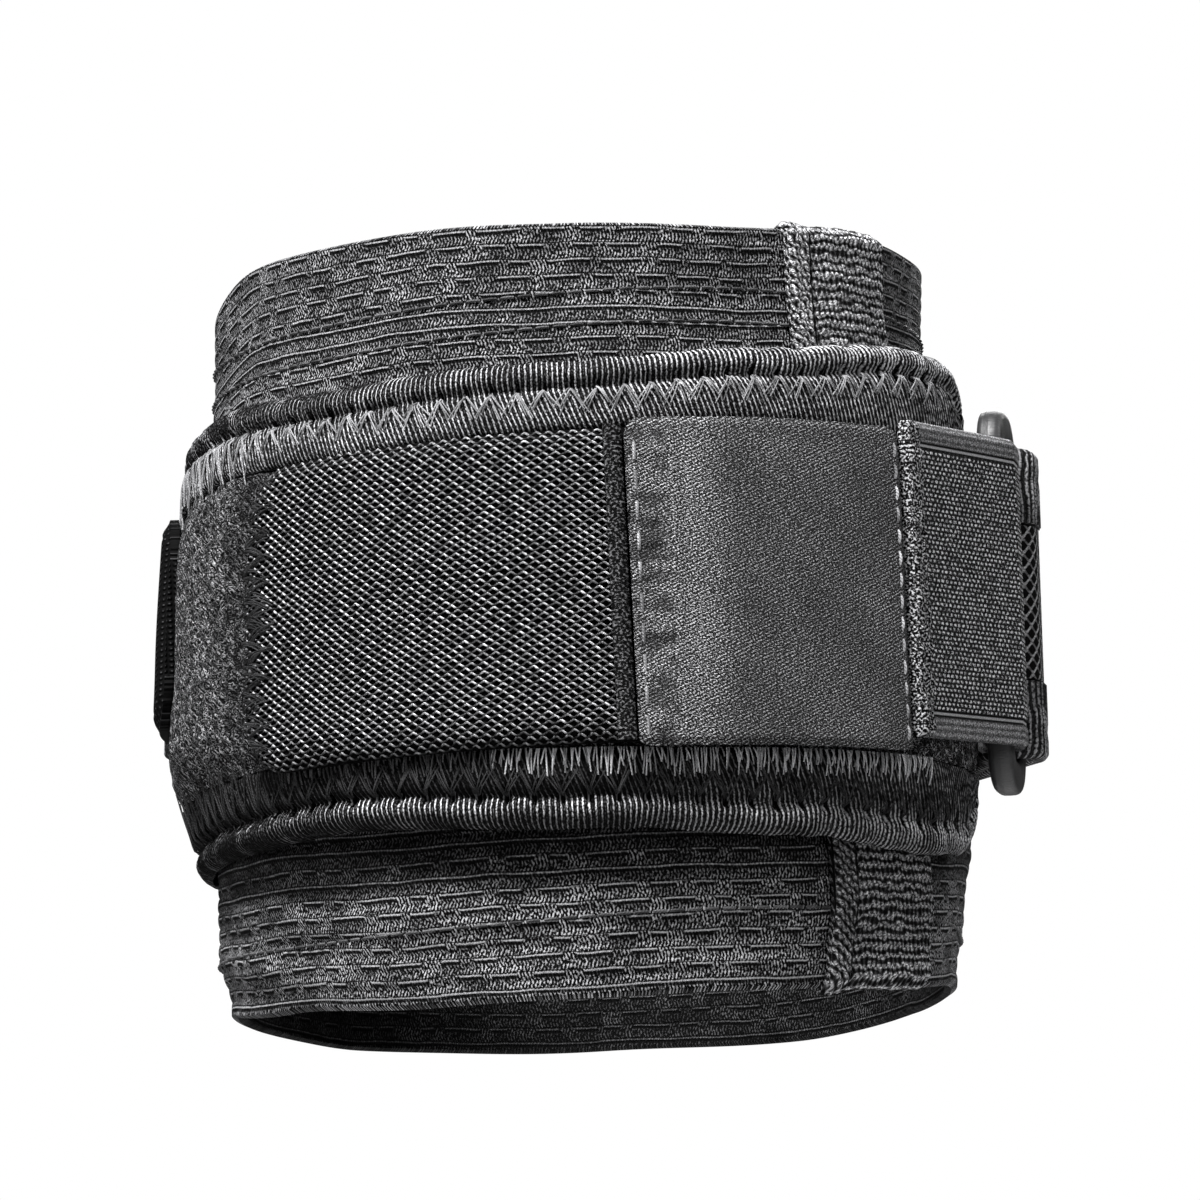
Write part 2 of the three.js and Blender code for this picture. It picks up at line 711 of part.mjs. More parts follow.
addPiece("elastic_sleeve", makeSleeve(), elasticKnit);
addPiece("seam_tape", makeSeamTape(), wovenTape);
addPiece("padded_band", makeBandCore(), pileKnit);
addPiece("upper_border", makeBorder("top"), ribbedKnit);
addPiece("lower_border", makeBorder("bottom"), ribbedKnit);
addPiece("mesh_panel", makePanel(), meshKnit);
addPiece(
  "label_welt",
  layOnPanel(WELT_ANGLE - degreesOnPanel(WELT_WIDTH / 2), weltEnd(), PANEL_HEIGHT, WELT_THICKNESS),
  wovenTape,
);
addPiece("woven_label", layOnPanel(labelStart(), LABEL_TO, LABEL_HEIGHT, LABEL_THICKNESS), satin);
addPiece("elastic_tab", makeTab(), elasticKnit);
addPiece("closure_strap", makeStrapMesh(), meshKnit);
addPiece("strap_upper_edge", makeStrapEdge(1), ribbedKnit);
addPiece("strap_lower_edge", makeStrapEdge(-1), ribbedKnit);
addPiece("hook_tab", makeHookTab(), hookPlastic);

const ringFrame = new THREE.Group();
ringFrame.position.copy(RING_CENTRE);
ringFrame.rotation.z = THREE.MathUtils.degToRad(RING_YAW);
strap.add(ringFrame);
const ring = addPiece("ring_buckle", makeRing(), plastic, ringFrame);
ring.rotation.x = Math.PI / 2 + Math.atan(faceSlope(RING_ANGLE));

export default strap;
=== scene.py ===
import math

import bpy
import numpy as np
from mathutils import Matrix, Vector


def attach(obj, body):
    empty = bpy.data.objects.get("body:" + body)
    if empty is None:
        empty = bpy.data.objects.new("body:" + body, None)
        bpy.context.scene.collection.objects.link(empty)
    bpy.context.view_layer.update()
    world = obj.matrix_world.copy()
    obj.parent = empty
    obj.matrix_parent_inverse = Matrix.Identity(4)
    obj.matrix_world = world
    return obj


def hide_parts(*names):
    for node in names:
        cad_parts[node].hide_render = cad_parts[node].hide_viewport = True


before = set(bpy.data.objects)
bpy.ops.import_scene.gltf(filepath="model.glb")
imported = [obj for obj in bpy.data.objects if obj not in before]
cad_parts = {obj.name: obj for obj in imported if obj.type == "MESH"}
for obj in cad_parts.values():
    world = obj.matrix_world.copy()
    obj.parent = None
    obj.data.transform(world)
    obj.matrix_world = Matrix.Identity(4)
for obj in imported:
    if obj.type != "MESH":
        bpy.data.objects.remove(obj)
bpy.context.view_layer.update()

MM = 0.001
TURN = 2 * math.pi
CLEARANCE = 0.3
SEED = 7
THREAD_SIDES = 5
FINE_THREAD = 0.09

# Elastic sleeve
SLEEVE_RADIUS = 46
SLEEVE_WALL = 1.6
SLEEVE_HEIGHT = 91
ROW_PITCH = 1.91
ROW_RELIEF = 0.22
SLEEVE_TUCK = 1.1  # at the lower right
TOP_LEFT_RISE = 1.1
HIDDEN_TO = 27  # the band hides the sleeve up to this height, and relief grows over the next 4
SHOWN_FROM = 31
FLOAT_PITCH = 5.7  # of the threads that float over the rows
HEM_HEIGHTS = (-0.83, 0.71, 0.8)  # run stitches, as shares of half the sleeve's height
RUN_STITCH_PITCH = 2.1

# Seam tape
TAPE_ANGLE = 46.5
TAPE_WIDTH = 17.2
TAPE_THICKNESS = 1.2
TAPE_RETURN = 9
TAPE_LENGTH = 115
KNOT_WIDTH = 0.8
KNOT_HEIGHT = 1.15

# Padded band and its borders
BAND_FROM = -238
BAND_TO = 73.5
BAND_THICKNESS = 4.8
BAND_RADIUS = SLEEVE_RADIUS + BAND_THICKNESS  # the cloth's lengths are measured there
BAND_HEIGHT = 55
BAND_CORNER = 7
BAND_LEAN = 0.057
BAND_STEP = 5
BAND_TUCK = 2.5  # at the lower left
PILE_SWELL = 1.1  # in front of the hook strip
BORDER_WIDTH = 8.6
GROOVE_INSET = 3.5
RIB_PITCH = 0.66
RIB_RELIEF = 0.17
STITCH_PITCH = 3.2
SERGE_PITCH = 0.32
# painted shade and light: the serging's thread is dark on the left of this angle, as painted shade under
# the panel, and a brighter copy on its right, as painted light
SERGE_MIDDLE = -12  # the serging is dark on the left of this angle and bright on its right

# Mesh panel, welt and label
PANEL_FROM = -48.5
PANEL_THICKNESS = 2
PANEL_HEIGHT = 37
PANEL_BULGE = 5.5
PANEL_END_SHARE = 0.55
PANEL_STITCH_PITCH = 2.9
HOLE_WIDTH = 1.45
HOLE_HEIGHT = 0.535
STRAND_RADIUS = 0.12
STRAND_SWING = 0.36  # as a share of a hole's height
NET_HEIGHT = 1.0  # of the closure strap's coarser net
WELT_ANGLE = 4.9
WELT_WIDTH = 2.1
WELT_THICKNESS = 1.3
LABEL_TO = 45.2
LABEL_THICKNESS = 0.8
LABEL_HEIGHT = 38.6
LABEL_CORNER = 2.2
LABEL_STITCH_PITCH = 3.6

# Elastic tab, ring and closure strap
TAB_THICKNESS = 1.4
TAB_HEIGHT = 38
TAB_MIDDLE = 1.4
RING_ANGLE = 84
RING_YAW = 78
RING_RISE = 1.1
RING_MIDDLE = 3
RING_THICKNESS = 3.2
RING_BAR = 3.8
RING_END_BAR = 4.2
RING_CORNER = 5.5
RING_BEVEL = 1
STRAP_HEIGHT = 39
STRAP_THICKNESS = 2
STRAP_EDGE_WIDTH = 9.6
STRAP_EDGE_THICKNESS = 2.4
STRAP_ANCHOR = 150
STRAP_END = 254
STRAP_END_HEIGHT = 27.5
STRAP_TAPER_FROM = 222
ANCHOR_MIDDLE = 1.4
HOOK_FROM = 245
HOOK_TO = 282  # 6 degrees short of the solid's end, which the pile hides
HOOK_END = HOOK_TO - 360
HOOK_THICKNESS = 1.3
HOOK_HEIGHT = 26.5
HOOK_CORNER = 6
HOOK_MIDDLE = 5.2
EDGE_RIB_PITCH = 0.8
WEB_PITCH = 0.57

def named(columns, rows):
    """A table's rows, with a name for each column."""
    return [dict(zip(columns.split(), row)) for row in rows]


# The sleeve's outline: height as a share of half its height, radius as a share of its radius
SLEEVE_PROFILE = named("height radius", [
    (-1.03, 0.973),
    (-0.94, 0.987),
    (-0.78, 1.014),
    (-0.6, 1.015),
    (0, 0.998),
    (0.62, 0.98),
    (0.8, 0.964),
    (1.01, 0.968),
])

# The sleeve's two rims round the arm, as shares of half its height
RIMS = named("angle top bottom", [
    (-180, 0.985, -1.008),
    (-135, 0.972, -0.995),
    (-90, 0.935, -0.952),
    (-58, 0.982, -0.991),
    (-25, 0.992, -1.024),
    (0, 0.98, -1.026),
    (25, 0.968, -1.018),
    (52, 0.992, -1.002),
    (84, 1.004, -0.97),
    (115, 0.996, -0.988),
    (145, 0.99, -1.02),
    (180, 0.985, -1.008),
])

# The band round the arm: thickness as a share of its own, edges as shares of half its height
BAND_OUTLINE = named("angle thickness top bottom", [
    (-238, 0.6, 0.9, -0.88),
    (-222, 0.95, 0.95, -0.93),
    (-205, 1, 0.97, -0.95),
    (-140, 1, 0.98, -0.96),
    (-90, 1.04, 0.99, -0.97),
    (-60, 1.04, 1.02, -0.95),
    (-36, 1, 0.99, -0.945),
    (0, 1, 0.995, -1.01),
    (28, 1, 1.045, -1.055),
    (52, 1, 1.115, -1.11),
    (64, 0.9, 1.12, -1.09),
    (74, 0.75, 1.08, -1.03),
])

# A border's face from its sewn side to its rolled edge: inset from the edge, and how deep it
# lies under the band's face as a share of the band's thickness
ROLL_PROFILE = named("inset sink", [
    (8.6, 0.1),
    (8.0, 0.02),
    (6.6, 0.0),
    (5.0, 0.03),
    (4.1, 0.11),
    (3.5, 0.24),
    (2.9, 0.15),
    (2.1, 0.07),
    (1.2, 0.12),
    (0.5, 0.27),
    (0.1, 0.5),
    (0.0, 0.72),
    (0.5, 0.93),
])


# Places on the object

def ease(value, low=0.0, high=1.0):
    share = np.clip((value - low) / (high - low), 0, 1)
    return share * share * (3 - 2 * share)


def lerp(low, high, share):
    return low + (high - low) * share


def hill(value, middle, spread):
    """1 at the middle, falling smoothly to 0 on both sides."""
    return np.exp(-(((value - middle) / spread) ** 2))


def ripple(place, pitch):
    """A smooth wave from 0 to 1 that repeats with the pitch."""
    return 0.5 + 0.5 * np.cos(TURN * place / pitch)


def read_table(table, key, column, place):
    """A column of a table at places between its rows, eased from row to row."""
    keys = np.array([row[key] for row in table], float)
    values = np.array([row[column] for row in table], float)
    place = np.clip(place, keys[0], keys[-1])
    after = np.clip(np.searchsorted(keys, place), 1, len(keys) - 1)
    share = ease(place, keys[after - 1], keys[after])
    return lerp(values[after - 1], values[after], share)


def wrap_angle(angle, lowest):
    return lowest + np.mod(angle - lowest, 360)


def outward(angle):
    turn = np.radians(angle)
    return np.stack([np.sin(turn), -np.cos(turn)], axis=-1)


def polar(angle, radius, height):
    angle, radius, height = np.broadcast_arrays(np.radians(angle), radius, height)
    return np.stack([radius * np.sin(angle), -radius * np.cos(angle), height], axis=-1)


def sleeve_radius(height):
    return SLEEVE_RADIUS * read_table(SLEEVE_PROFILE, "height", "radius", height / (SLEEVE_HEIGHT / 2))


def rim_height(angle, side):
    return SLEEVE_HEIGHT / 2 * read_table(RIMS, "angle", side, wrap_angle(angle, -180))


def tape_room(angle):
    half_width = math.degrees(TAPE_WIDTH / 2 / SLEEVE_RADIUS)
    away = np.abs(angle - TAPE_ANGLE) - half_width
    return (1 - ease(away, BAND_STEP, 2 * BAND_STEP)) * (TAPE_THICKNESS + CLEARANCE)


def band_thickness(angle):
    return BAND_THICKNESS * read_table(BAND_OUTLINE, "angle", "thickness", wrap_angle(angle, BAND_FROM))


def lean_shift(angle, height):
    return BAND_LEAN * height * np.sin(np.radians(angle))


def band_outer(angle, height):
    return sleeve_radius(height) + CLEARANCE + band_thickness(angle) + lean_shift(angle, height)


def stand_off(angle, height):
    """How far the leaning band stands off the sleeve."""
    return np.maximum(lean_shift(angle, height), 0)


def band_inner(angle, height):
    room = np.maximum(stand_off(angle, height), tape_room(angle))
    return sleeve_radius(height) + CLEARANCE + room


def band_edge(angle, side):
    return BAND_HEIGHT / 2 * read_table(BAND_OUTLINE, "angle", side, angle)


def border_width(angle, side):
    """A border's width, which grows where the band is wider than what is sewn on it."""
    spare = np.abs(band_edge(angle, side)) - LABEL_HEIGHT / 2 - BORDER_WIDTH - CLEARANCE
    return BORDER_WIDTH + np.maximum(spare, 0) * ease(angle, PANEL_FROM, WELT_ANGLE)


def corner_drop(distance, corner):
    inside = np.maximum(corner - distance, 0)
    return corner - np.sqrt(corner * corner - inside * inside)


def band_corner_drop(angle):
    to_end = np.minimum(angle - BAND_FROM, BAND_TO - angle)
    return corner_drop(np.radians(to_end) * SLEEVE_RADIUS, BAND_CORNER)


def panel_outer(angle, height):
    return band_outer(angle, height) + CLEARANCE + PANEL_THICKNESS


def panel_half_height(angle):
    along = np.radians(angle - PANEL_FROM) * SLEEVE_RADIUS
    left = 1 - np.clip(along / PANEL_BULGE, 0, 1)
    return PANEL_HEIGHT / 2 * lerp(PANEL_END_SHARE, 1, np.sqrt(1 - left * left))


def degrees_on_panel(length):
    return math.degrees(length / float(panel_outer(WELT_ANGLE, 0)))


WELT_TO = WELT_ANGLE + degrees_on_panel(WELT_WIDTH / 2)
LABEL_FROM = WELT_TO + degrees_on_panel(CLEARANCE)


# Meshes

def smooth_curve(points, count):
    """Points of a smooth curve through the given ones."""
    points = np.asarray(points, float)
    padded = np.vstack([2 * points[0] - points[1], points, 2 * points[-1] - points[-2]])
    place = np.linspace(0, len(points) - 1, count)
    start = np.minimum(place.astype(int), len(points) - 2)
    t = (place - start)[:, None]
    a, b, c, d = (padded[start + k] for k in range(4))
    return 0.5 * (2 * b + (c - a) * t + (2 * a - 5 * b + 4 * c - d) * t**2 + (3 * b - a - 3 * c + d) * t**3)


def displaced(grid, amount):
    """A grid of points moved outwards along its own normals by amounts in millimetres."""
    across = np.gradient(grid, axis=0)
    up = np.gradient(grid, axis=1)
    normal = np.cross(across, up)
    normal /= np.maximum(np.linalg.norm(normal, axis=-1, keepdims=True), 1e-9)
    radial = grid * (1, 1, 0)
    facing = 1 if (normal * radial).sum() > 0 else -1
    return grid + facing * normal * amount[..., None]


def in_scene(name, data):
    made = bpy.data.objects.new(name, data)
    bpy.context.scene.collection.objects.link(made)
    return made


def new_object(name, points, faces, corner_places):
    """An object from points in millimetres, lists of equally long faces, and a flat place in
    millimetres for each corner of the faces."""
    mesh = bpy.data.meshes.new(name)
    lengths = np.concatenate([np.full(len(f), f.shape[1]) for f in faces])
    corners = np.concatenate([f.ravel() for f in faces])
    mesh.vertices.add(len(points))
    mesh.vertices.foreach_set("co", (points * MM).astype(np.float32).ravel())
    mesh.loops.add(len(corners))
    mesh.loops.foreach_set("vertex_index", corners.astype(np.int32))
    mesh.polygons.add(len(lengths))
    starts = np.concatenate([[0], np.cumsum(lengths)[:-1]])
    mesh.polygons.foreach_set("loop_start", starts.astype(np.int32))
    mesh.update(calc_edges=True)
    layer = mesh.uv_layers.new(name="cloth")
    layer.data.foreach_set("uv", np.concatenate(corner_places).astype(np.float32).ravel())
    mesh.shade_smooth()
    mesh.set_sharp_from_angle(angle=math.radians(70))
    return in_scene(name, mesh)


def loft(name, rings, flat, is_loop=False):
    """A closed solid through rings of points. flat holds each point's place on the cloth, with
    one more column than rings where the loft is a loop."""
    columns, count, _ = rings.shape
    last = columns if is_loop else columns - 1
    i, j = np.meshgrid(np.arange(last), np.arange(count), indexing="ij")
    k, n = (j + 1) % count, i + 1
    quads = np.stack([i * count + j, i * count + k, n % columns * count + k, n % columns * count + j], -1)
    places = np.stack([flat[i, j], flat[i, k], flat[n, k], flat[n, j]], axis=2)
    quads, places = quads.reshape(-1, 4), places.reshape(-1, 4, 2)
    points = rings.reshape(-1, 3)
    a, b, c, d = (points[quads[:, k]] for k in range(4))
    volume = (a * np.cross(b, c)).sum() + (a * np.cross(c, d)).sum()
    caps = np.array([np.arange(count)[::-1], (columns - 1) * count + np.arange(count)])
    cap_places = np.stack([flat[0][::-1], flat[columns - 1]])
    radius = np.hypot(points[caps, 0], points[caps, 1])
    cap_places[..., 0] += radius - radius[:, :1]
    if volume < 0:
        quads, places = quads[:, ::-1], places[:, ::-1]
        caps, cap_places = caps[:, ::-1], cap_places[:, ::-1]
    if is_loop:
        return new_object(name, points, [quads], [places.reshape(-1, 2)])
    corner_places = [places.reshape(-1, 2), cap_places.reshape(-1, 2)]
    return new_object(name, points, [quads, caps], corner_places)


def wall(name, outer, inner, along, outer_up, inner_up, is_loop=False):
    """A solid between an outer and an inner grid of points, both of columns and then rows.
    along and up are the places of the columns and rows on the cloth."""
    rings = np.concatenate([outer, inner[:, ::-1]], axis=1)
    up = np.concatenate([outer_up, inner_up[:, ::-1]], axis=1)
    if is_loop:
        up = np.vstack([up, up[:1]])
    along = np.broadcast_to(along if along.ndim == 2 else along[:, None], up.shape)
    return loft(name, rings, np.stack([along, up], axis=-1), is_loop)


def tubes(name, paths, radius, places=None):
    """Closed threads along paths of points, one solid each, joined in one mesh. places are
    the points' places along their thread, if its finish repeats with something else."""
    paths = np.asarray(paths, float)
    count, steps, _ = paths.shape
    tangent = np.gradient(paths, axis=1)
    tangent /= np.maximum(np.linalg.norm(tangent, axis=-1, keepdims=True), 1e-9)
    radial = paths * (1, 1, 0)
    side = np.cross(tangent, radial)
    side /= np.maximum(np.linalg.norm(side, axis=-1, keepdims=True), 1e-9)
    normal = np.cross(side, tangent)
    sides = THREAD_SIDES
    turn = TURN * np.arange(sides) / sides
    girth = np.broadcast_to(np.asarray(radius, float), (count, steps))[..., None, None]
    ring = np.cos(turn)[:, None] * normal[:, :, None] + np.sin(turn)[:, None] * side[:, :, None]
    points = (paths[:, :, None] + girth * ring).reshape(-1, 3)
    p, i, j = np.meshgrid(np.arange(count), np.arange(steps - 1), np.arange(sides), indexing="ij")
    k = (j + 1) % sides
    at = lambda row, column: (p * steps + row) * sides + column
    quads = np.stack([at(i, j), at(i + 1, j), at(i + 1, k), at(i, k)], -1).reshape(-1, 4)
    length = np.linalg.norm(np.diff(paths, axis=1), axis=-1).cumsum(axis=1)
    length = np.concatenate([np.zeros((count, 1)), length], axis=1) + 13.7 * np.arange(count)[:, None]
    length = length if places is None else places
    corners = ((0, 0), (1, 0), (1, 1), (0, 1))
    quad_places = [np.stack([length[p, i + on], j + 1.0 * over], -1) for on, over in corners]
    quad_places = np.stack(quad_places, axis=3).reshape(-1, 2)
    ends = np.arange(count)[:, None] * steps * sides
    first = ends + np.arange(sides)
    final = ends + (steps - 1) * sides + np.arange(sides)[::-1]
    caps = np.concatenate([first, final])
    faces, places = [quads, caps], [quad_places, np.zeros((caps.size, 2))]
    a, b, c = (points[quads[:, k]] for k in range(3))
    centre = np.repeat(paths[:, :-1].reshape(-1, 3), sides, axis=0)
    if ((a - centre) * np.cross(b - a, c - a)).sum() < 0:
        faces = [face[:, ::-1] for face in faces]
        places = [quad_places.reshape(-1, 4, 2)[:, ::-1].reshape(-1, 2), places[1]]
    return new_object(name, points, faces, places)


def soft_noise(shape, cell, seed):
    """Smooth seeded noise from -1 to 1 over a grid, with one random value for each cell."""
    rng = np.random.default_rng(seed)
    rows, columns = (max(int(size / step) + 3, 4) for size, step in zip(shape, cell))
    values = rng.uniform(-1, 1, (rows, columns))
    x = np.linspace(0, rows - 2.001, shape[0])
    y = np.linspace(0, columns - 2.001, shape[1])
    i, j = x.astype(int), y.astype(int)
    s, t = ease(x - i)[:, None], ease(y - j)[None]
    low = lerp(values[np.ix_(i, j)], values[np.ix_(i + 1, j)], s)
    high = lerp(values[np.ix_(i, j + 1)], values[np.ix_(i + 1, j + 1)], s)
    return lerp(low, high, t)


# Materials

class Field:
    """A number that varies over a surface: a node's output that can be reckoned with."""

    def __init__(self, tree, socket):
        self.tree = tree
        self.socket = socket

    def node(self, operation, *others):
        node = self.tree.nodes.new("ShaderNodeMath")
        node.operation = operation
        for slot, value in zip(node.inputs, (self, *others)):
            put(self.tree, slot, value)
        return Field(self.tree, node.outputs[0])

    def __add__(self, other):
        return self.node("ADD", other)

    def __sub__(self, other):
        return self.node("SUBTRACT", other)

    def __mul__(self, other):
        return self.node("MULTIPLY", other)

    def __rsub__(self, other):
        return self * -1 + other

    __radd__ = __add__
    __rmul__ = __mul__

    def power(self, exponent):
        return self.node("POWER", exponent)

    def wave(self, pitch):
        """A smooth wave from 0 to 1 that repeats with the pitch."""
        return (self * (TURN / pitch)).node("COSINE") * 0.5 + 0.5

    def between(self, low, high):
        """Eases from 0 at low to 1 at high."""
        node = self.tree.nodes.new("ShaderNodeMapRange")
        node.interpolation_type = "SMOOTHSTEP"
        for slot, value in zip(node.inputs, (self, low, high)):
            put(self.tree, slot, value)
        return Field(self.tree, node.outputs[0])

    def cell(self, pitch):
        return (self * (1 / pitch)).node("FLOOR")


def put(tree, slot, value):
    if isinstance(value, Field):
        tree.links.new(value.socket, slot)
    else:
        slot.default_value = value


def cloth_places(tree):
    """Places along and up the cloth, in millimetres."""
    source = tree.nodes.new("ShaderNodeUVMap")
    source.uv_map = "cloth"
    parts = tree.nodes.new("ShaderNodeSeparateXYZ")
    tree.links.new(source.outputs[0], parts.inputs[0])
    return Field(tree, parts.outputs[0]), Field(tree, parts.outputs[1])


def joined(along, up):
    node = along.tree.nodes.new("ShaderNodeCombineXYZ")
    put(along.tree, node.inputs[0], along)
    put(along.tree, node.inputs[1], up)
    return node.outputs[0]


def noise(along, up, width, height, detail=2.0):
    """Soft noise from 0 to 1 with grains of about the given width and height."""
    tree = along.tree
    node = tree.nodes.new("ShaderNodeTexNoise")
    node.noise_dimensions = "2D"
    node.inputs["Scale"].default_value = 1.0
    node.inputs["Detail"].default_value = detail
    tree.links.new(joined(along * (1 / width), up * (1 / height)), node.inputs["Vector"])
    return Field(tree, node.outputs[0]).between(0.28, 0.72)


def chance(along, up):
    """A random number from 0 to 1 for each whole place."""
    tree = along.tree
    node = tree.nodes.new("ShaderNodeTexWhiteNoise")
    node.noise_dimensions = "2D"
    tree.links.new(joined(along, up), node.inputs["Vector"])
    return Field(tree, node.outputs[0])


def place_and_facing(tree):
    """Height over the band's middle in metres, 1 on faces that look in at the arm, and how
    far faces look up."""
    source = tree.nodes.new("ShaderNodeNewGeometry")
    parts = []
    for output in ("Position", "True Normal"):
        split = tree.nodes.new("ShaderNodeSeparateXYZ")
        tree.links.new(source.outputs[output], split.inputs[0])
        parts.append([Field(tree, socket) for socket in split.outputs])
    place, normal = parts
    outward_share = place[0] * normal[0] + place[1] * normal[1]
    return place[2], outward_share.between(0.01, -0.01), normal[2]


def grey(value):
    return (value, value, value * 1.03, 1)


def material(name, dark, light, pattern, depth, roughness, specular=0.03):
    """A finish whose pattern(along, up) gives its tone, from dark to light, and its relief."""
    made = bpy.data.materials.new(name)
    made.use_nodes = True
    tree = made.node_tree
    shader = tree.nodes["Principled BSDF"]
    shader.inputs["Roughness"].default_value = roughness
    shader.inputs["Specular IOR Level"].default_value = specular
    tone, relief = pattern(*cloth_places(tree))
    blend = tree.nodes.new("ShaderNodeMix")
    blend.data_type = "RGBA"
    blend.inputs["A"].default_value = grey(dark)
    blend.inputs["B"].default_value = grey(light)
    put(tree, blend.inputs["Factor"], tone)
    tree.links.new(blend.outputs["Result"], shader.inputs["Base Color"])
    bump = tree.nodes.new("ShaderNodeBump")
    bump.inputs["Distance"].default_value = depth * MM
    put(tree, bump.inputs["Height"], relief)
    tree.links.new(bump.outputs[0], shader.inputs["Normal"])
    return made


def elastic_knit(along, up):
    """Rows of looped ribs, with a thin thread floating over each row and painted shadow in the slot under
    it; painted shade also darkens the cracks between rows, the sleeve just under the band and its inside,
    and painted light brightens the lower sleeve from the front round to the right.
    """
    wander = noise(along, up, 7.0, 4.0, 1.0)
    height = up + wander * 0.16
    row = height.cell(ROW_PITCH)
    phase = (height * (1 / ROW_PITCH)).node("FRACT")
    shift = chance(row, row) * FLOAT_PITCH
    dash = (along + shift + wander * 2.5).wave(FLOAT_PITCH).between(0.28, 0.42)
    dash = dash.node("MAXIMUM", chance(row * 3.1, row).between(0.72, 0.74) * 0.85)
    line = (phase.between(0.82, 0.86) - phase.between(0.92, 0.96)) * dash
    slot = (phase.between(0.58, 0.68) - phase.between(0.78, 0.83)) * dash
    crack = (phase - 0.5).node("ABSOLUTE").between(0.44, 0.49)
    loops = (along + (phase - 0.4).node("ABSOLUTE") * 0.7).wave(0.43)
    grain = noise(along, height, 0.25, 0.4, 2.0)
    strokes = (loops * 0.5 + grain * 0.75).between(0.42, 1.0)
    patch = noise(along, height, 6, 3, 1.0)
    # painted shade: darker where threads float over the row, darkest in the slot under each float, and dark
    # in the crack between rows
    shade = (1 - dash * 0.35) * (slot * -0.95 + 1) * (crack * -0.75 + 1) * (patch * 0.7 + 0.5)
    body = strokes.power(1.8) * shade
    tone = body + line * (grain * 0.7 + 0.4)
    # painted shadow just under the band, painted shade on faces that look in at the arm, and painted light
    # on the lower sleeve from the front round to the right
    level, inside, _ = place_and_facing(along.tree)
    under_band_shadow = level.between(-0.037, -0.029) - level.between(-0.026, -0.025)
    lit = level.between(-0.03, -0.038) * along.between(-50, -25)
    shaded = (inside * -0.88 + 1) * (under_band_shadow * -0.65 + 1) * (lit * 0.4 + 1)
    return tone * shaded, strokes * 0.5 + line * 0.9 - slot * 0.6 - crack * 0.4


def ribbed_knit(along, up):
    """Yarn ribs that run up the cloth, each a column of small loops."""
    bend = noise(along, up, 5.0, 6.0, 1.0)
    rib = (along + bend * 0.25).wave(RIB_PITCH)
    fine = (along + bend * 0.25).wave(RIB_PITCH / 2)
    grain = noise(along, up, 0.2, 0.35)
    patch = noise(along, up, 5, 3, 1.0)
    ribs = (rib * 0.6 + fine * 0.35) * (grain * 0.8 + 0.4)
    tone = ribs.between(0.22, 1.0) * (patch * 0.6 + 0.6)
    return tone, rib * 0.5 + fine * 0.3 + grain * 0.4


def lower_rib(along, up):
    """The lower border's ribs, with painted shade from the panel over them, a painted highlight on the
    upper side of their rolled edge, and painted light that differs from side to side.
    """
    tone, relief = ribbed_knit(along, up)
    # painted highlight on the roll's upper side, dimmed on the front left and a little on the right
    roll_highlight = up.between(5.2, 6.6) - up.between(7.4, 9.4) * 0.8
    front = along.between(-120, -80)
    left = front - along.between(-60, -34)
    right = along.between(0, 22)
    lit = 1 - left * 0.75 - right * 0.3
    # painted shade: the whole border is darkened from the front on, under the panel, and lifted again on
    # the right as painted light
    sewn = 0.45 - front * 0.36 + right * 0.22
    return tone * (roll_highlight * lit + sewn), relief


def pile_knit(along, up):
    """A curly brushed pile, ruffled where the panel is sewn on, with painted shade along the panel's edge
    there.
    """
    bend = noise(along, up, 1.2, 1.0, 1.0)
    curl = noise(along + bend * 0.9, up - bend * 0.7, 0.42, 0.22, 3.0)
    tuft = noise(along, up, 1.5, 1.2, 2.0)
    broad = noise(along, up, 4.5, 4.0, 1.0)
    # painted shade: the pile is darkened along the panel's left edge, where the panel is sewn on
    sewn = along.between(-54, -45) - along.between(-40, -38)
    depth = (tuft * 0.75 + 0.15) * (broad * 0.5 + 0.8)
    tone = curl.between(0.3, 1.0).power(1.7) * depth * (sewn * -0.6 + 1)
    return tone, curl + tuft * 1.2


def mesh_base(along, up):
    grain = noise(along, up, 0.3, 0.3)
    return grain * 0.5, grain


def yarn(along, up):
    """Twisted plies round a thread, brighter on some stretches than on others."""
    twist = (along * 2.6 + up * 0.35).wave(1)
    stretch = noise(along, up, 5.0, 60.0, 1.0)
    fuzz = noise(along, up, 0.15, 0.5)
    return (twist * 0.4 + fuzz * 0.4 + 0.2) * (stretch * 0.8 + 0.2), twist * 0.6 + fuzz * 0.4


def strand(along, up):
    """A net's strand, with a painted highlight on the legs that fall to the right, painted shade on the
    others, and painted shade on faces that look up and along the panel's lower edge.
    """
    # painted highlight on the legs that fall to the right, painted shade on the others
    leg = (along + HOLE_WIDTH * 0.16).wave(HOLE_WIDTH).between(0.12, 0.75)
    fuzz = noise(along, up, 0.25, 1.2)
    stretch = noise(along, up, 1.6, 60.0, 3.0)
    level, _, upward = place_and_facing(along.tree)
    # painted shade: darker along the panel's lower edge and on faces that look up
    shade = (level.between(-0.0145, -0.0185) * -0.75 + 1) * (upward.between(0.5, 0.75) * -0.7 + 1)
    return (leg * 0.85 + 0.1) * (fuzz * 0.6 + 0.35) * (stretch * 1.1 + 0.2) * shade, fuzz


def mesh_knit(along, up):
    """A net's wavy strands over dark cloth, with a painted highlight on the legs that fall to the right."""
    row = up.cell(NET_HEIGHT)
    shifted = along + row.node("MODULO", 2.0) * (HOLE_WIDTH / 2)
    middle = shifted.wave(HOLE_WIDTH) * 0.7 + 0.15
    away = ((up * (1 / NET_HEIGHT)).node("FRACT") - middle).node("ABSOLUTE")
    thread = away.between(0.32, 0.12)
    # painted highlight on the legs that fall to the right
    leg = (shifted + HOLE_WIDTH / 4).wave(HOLE_WIDTH)
    grain = noise(along, up, 0.2, 0.2)
    return thread * (leg * 0.75 + 0.25) * (grain * 0.8 + 0.3), thread + grain * 0.2


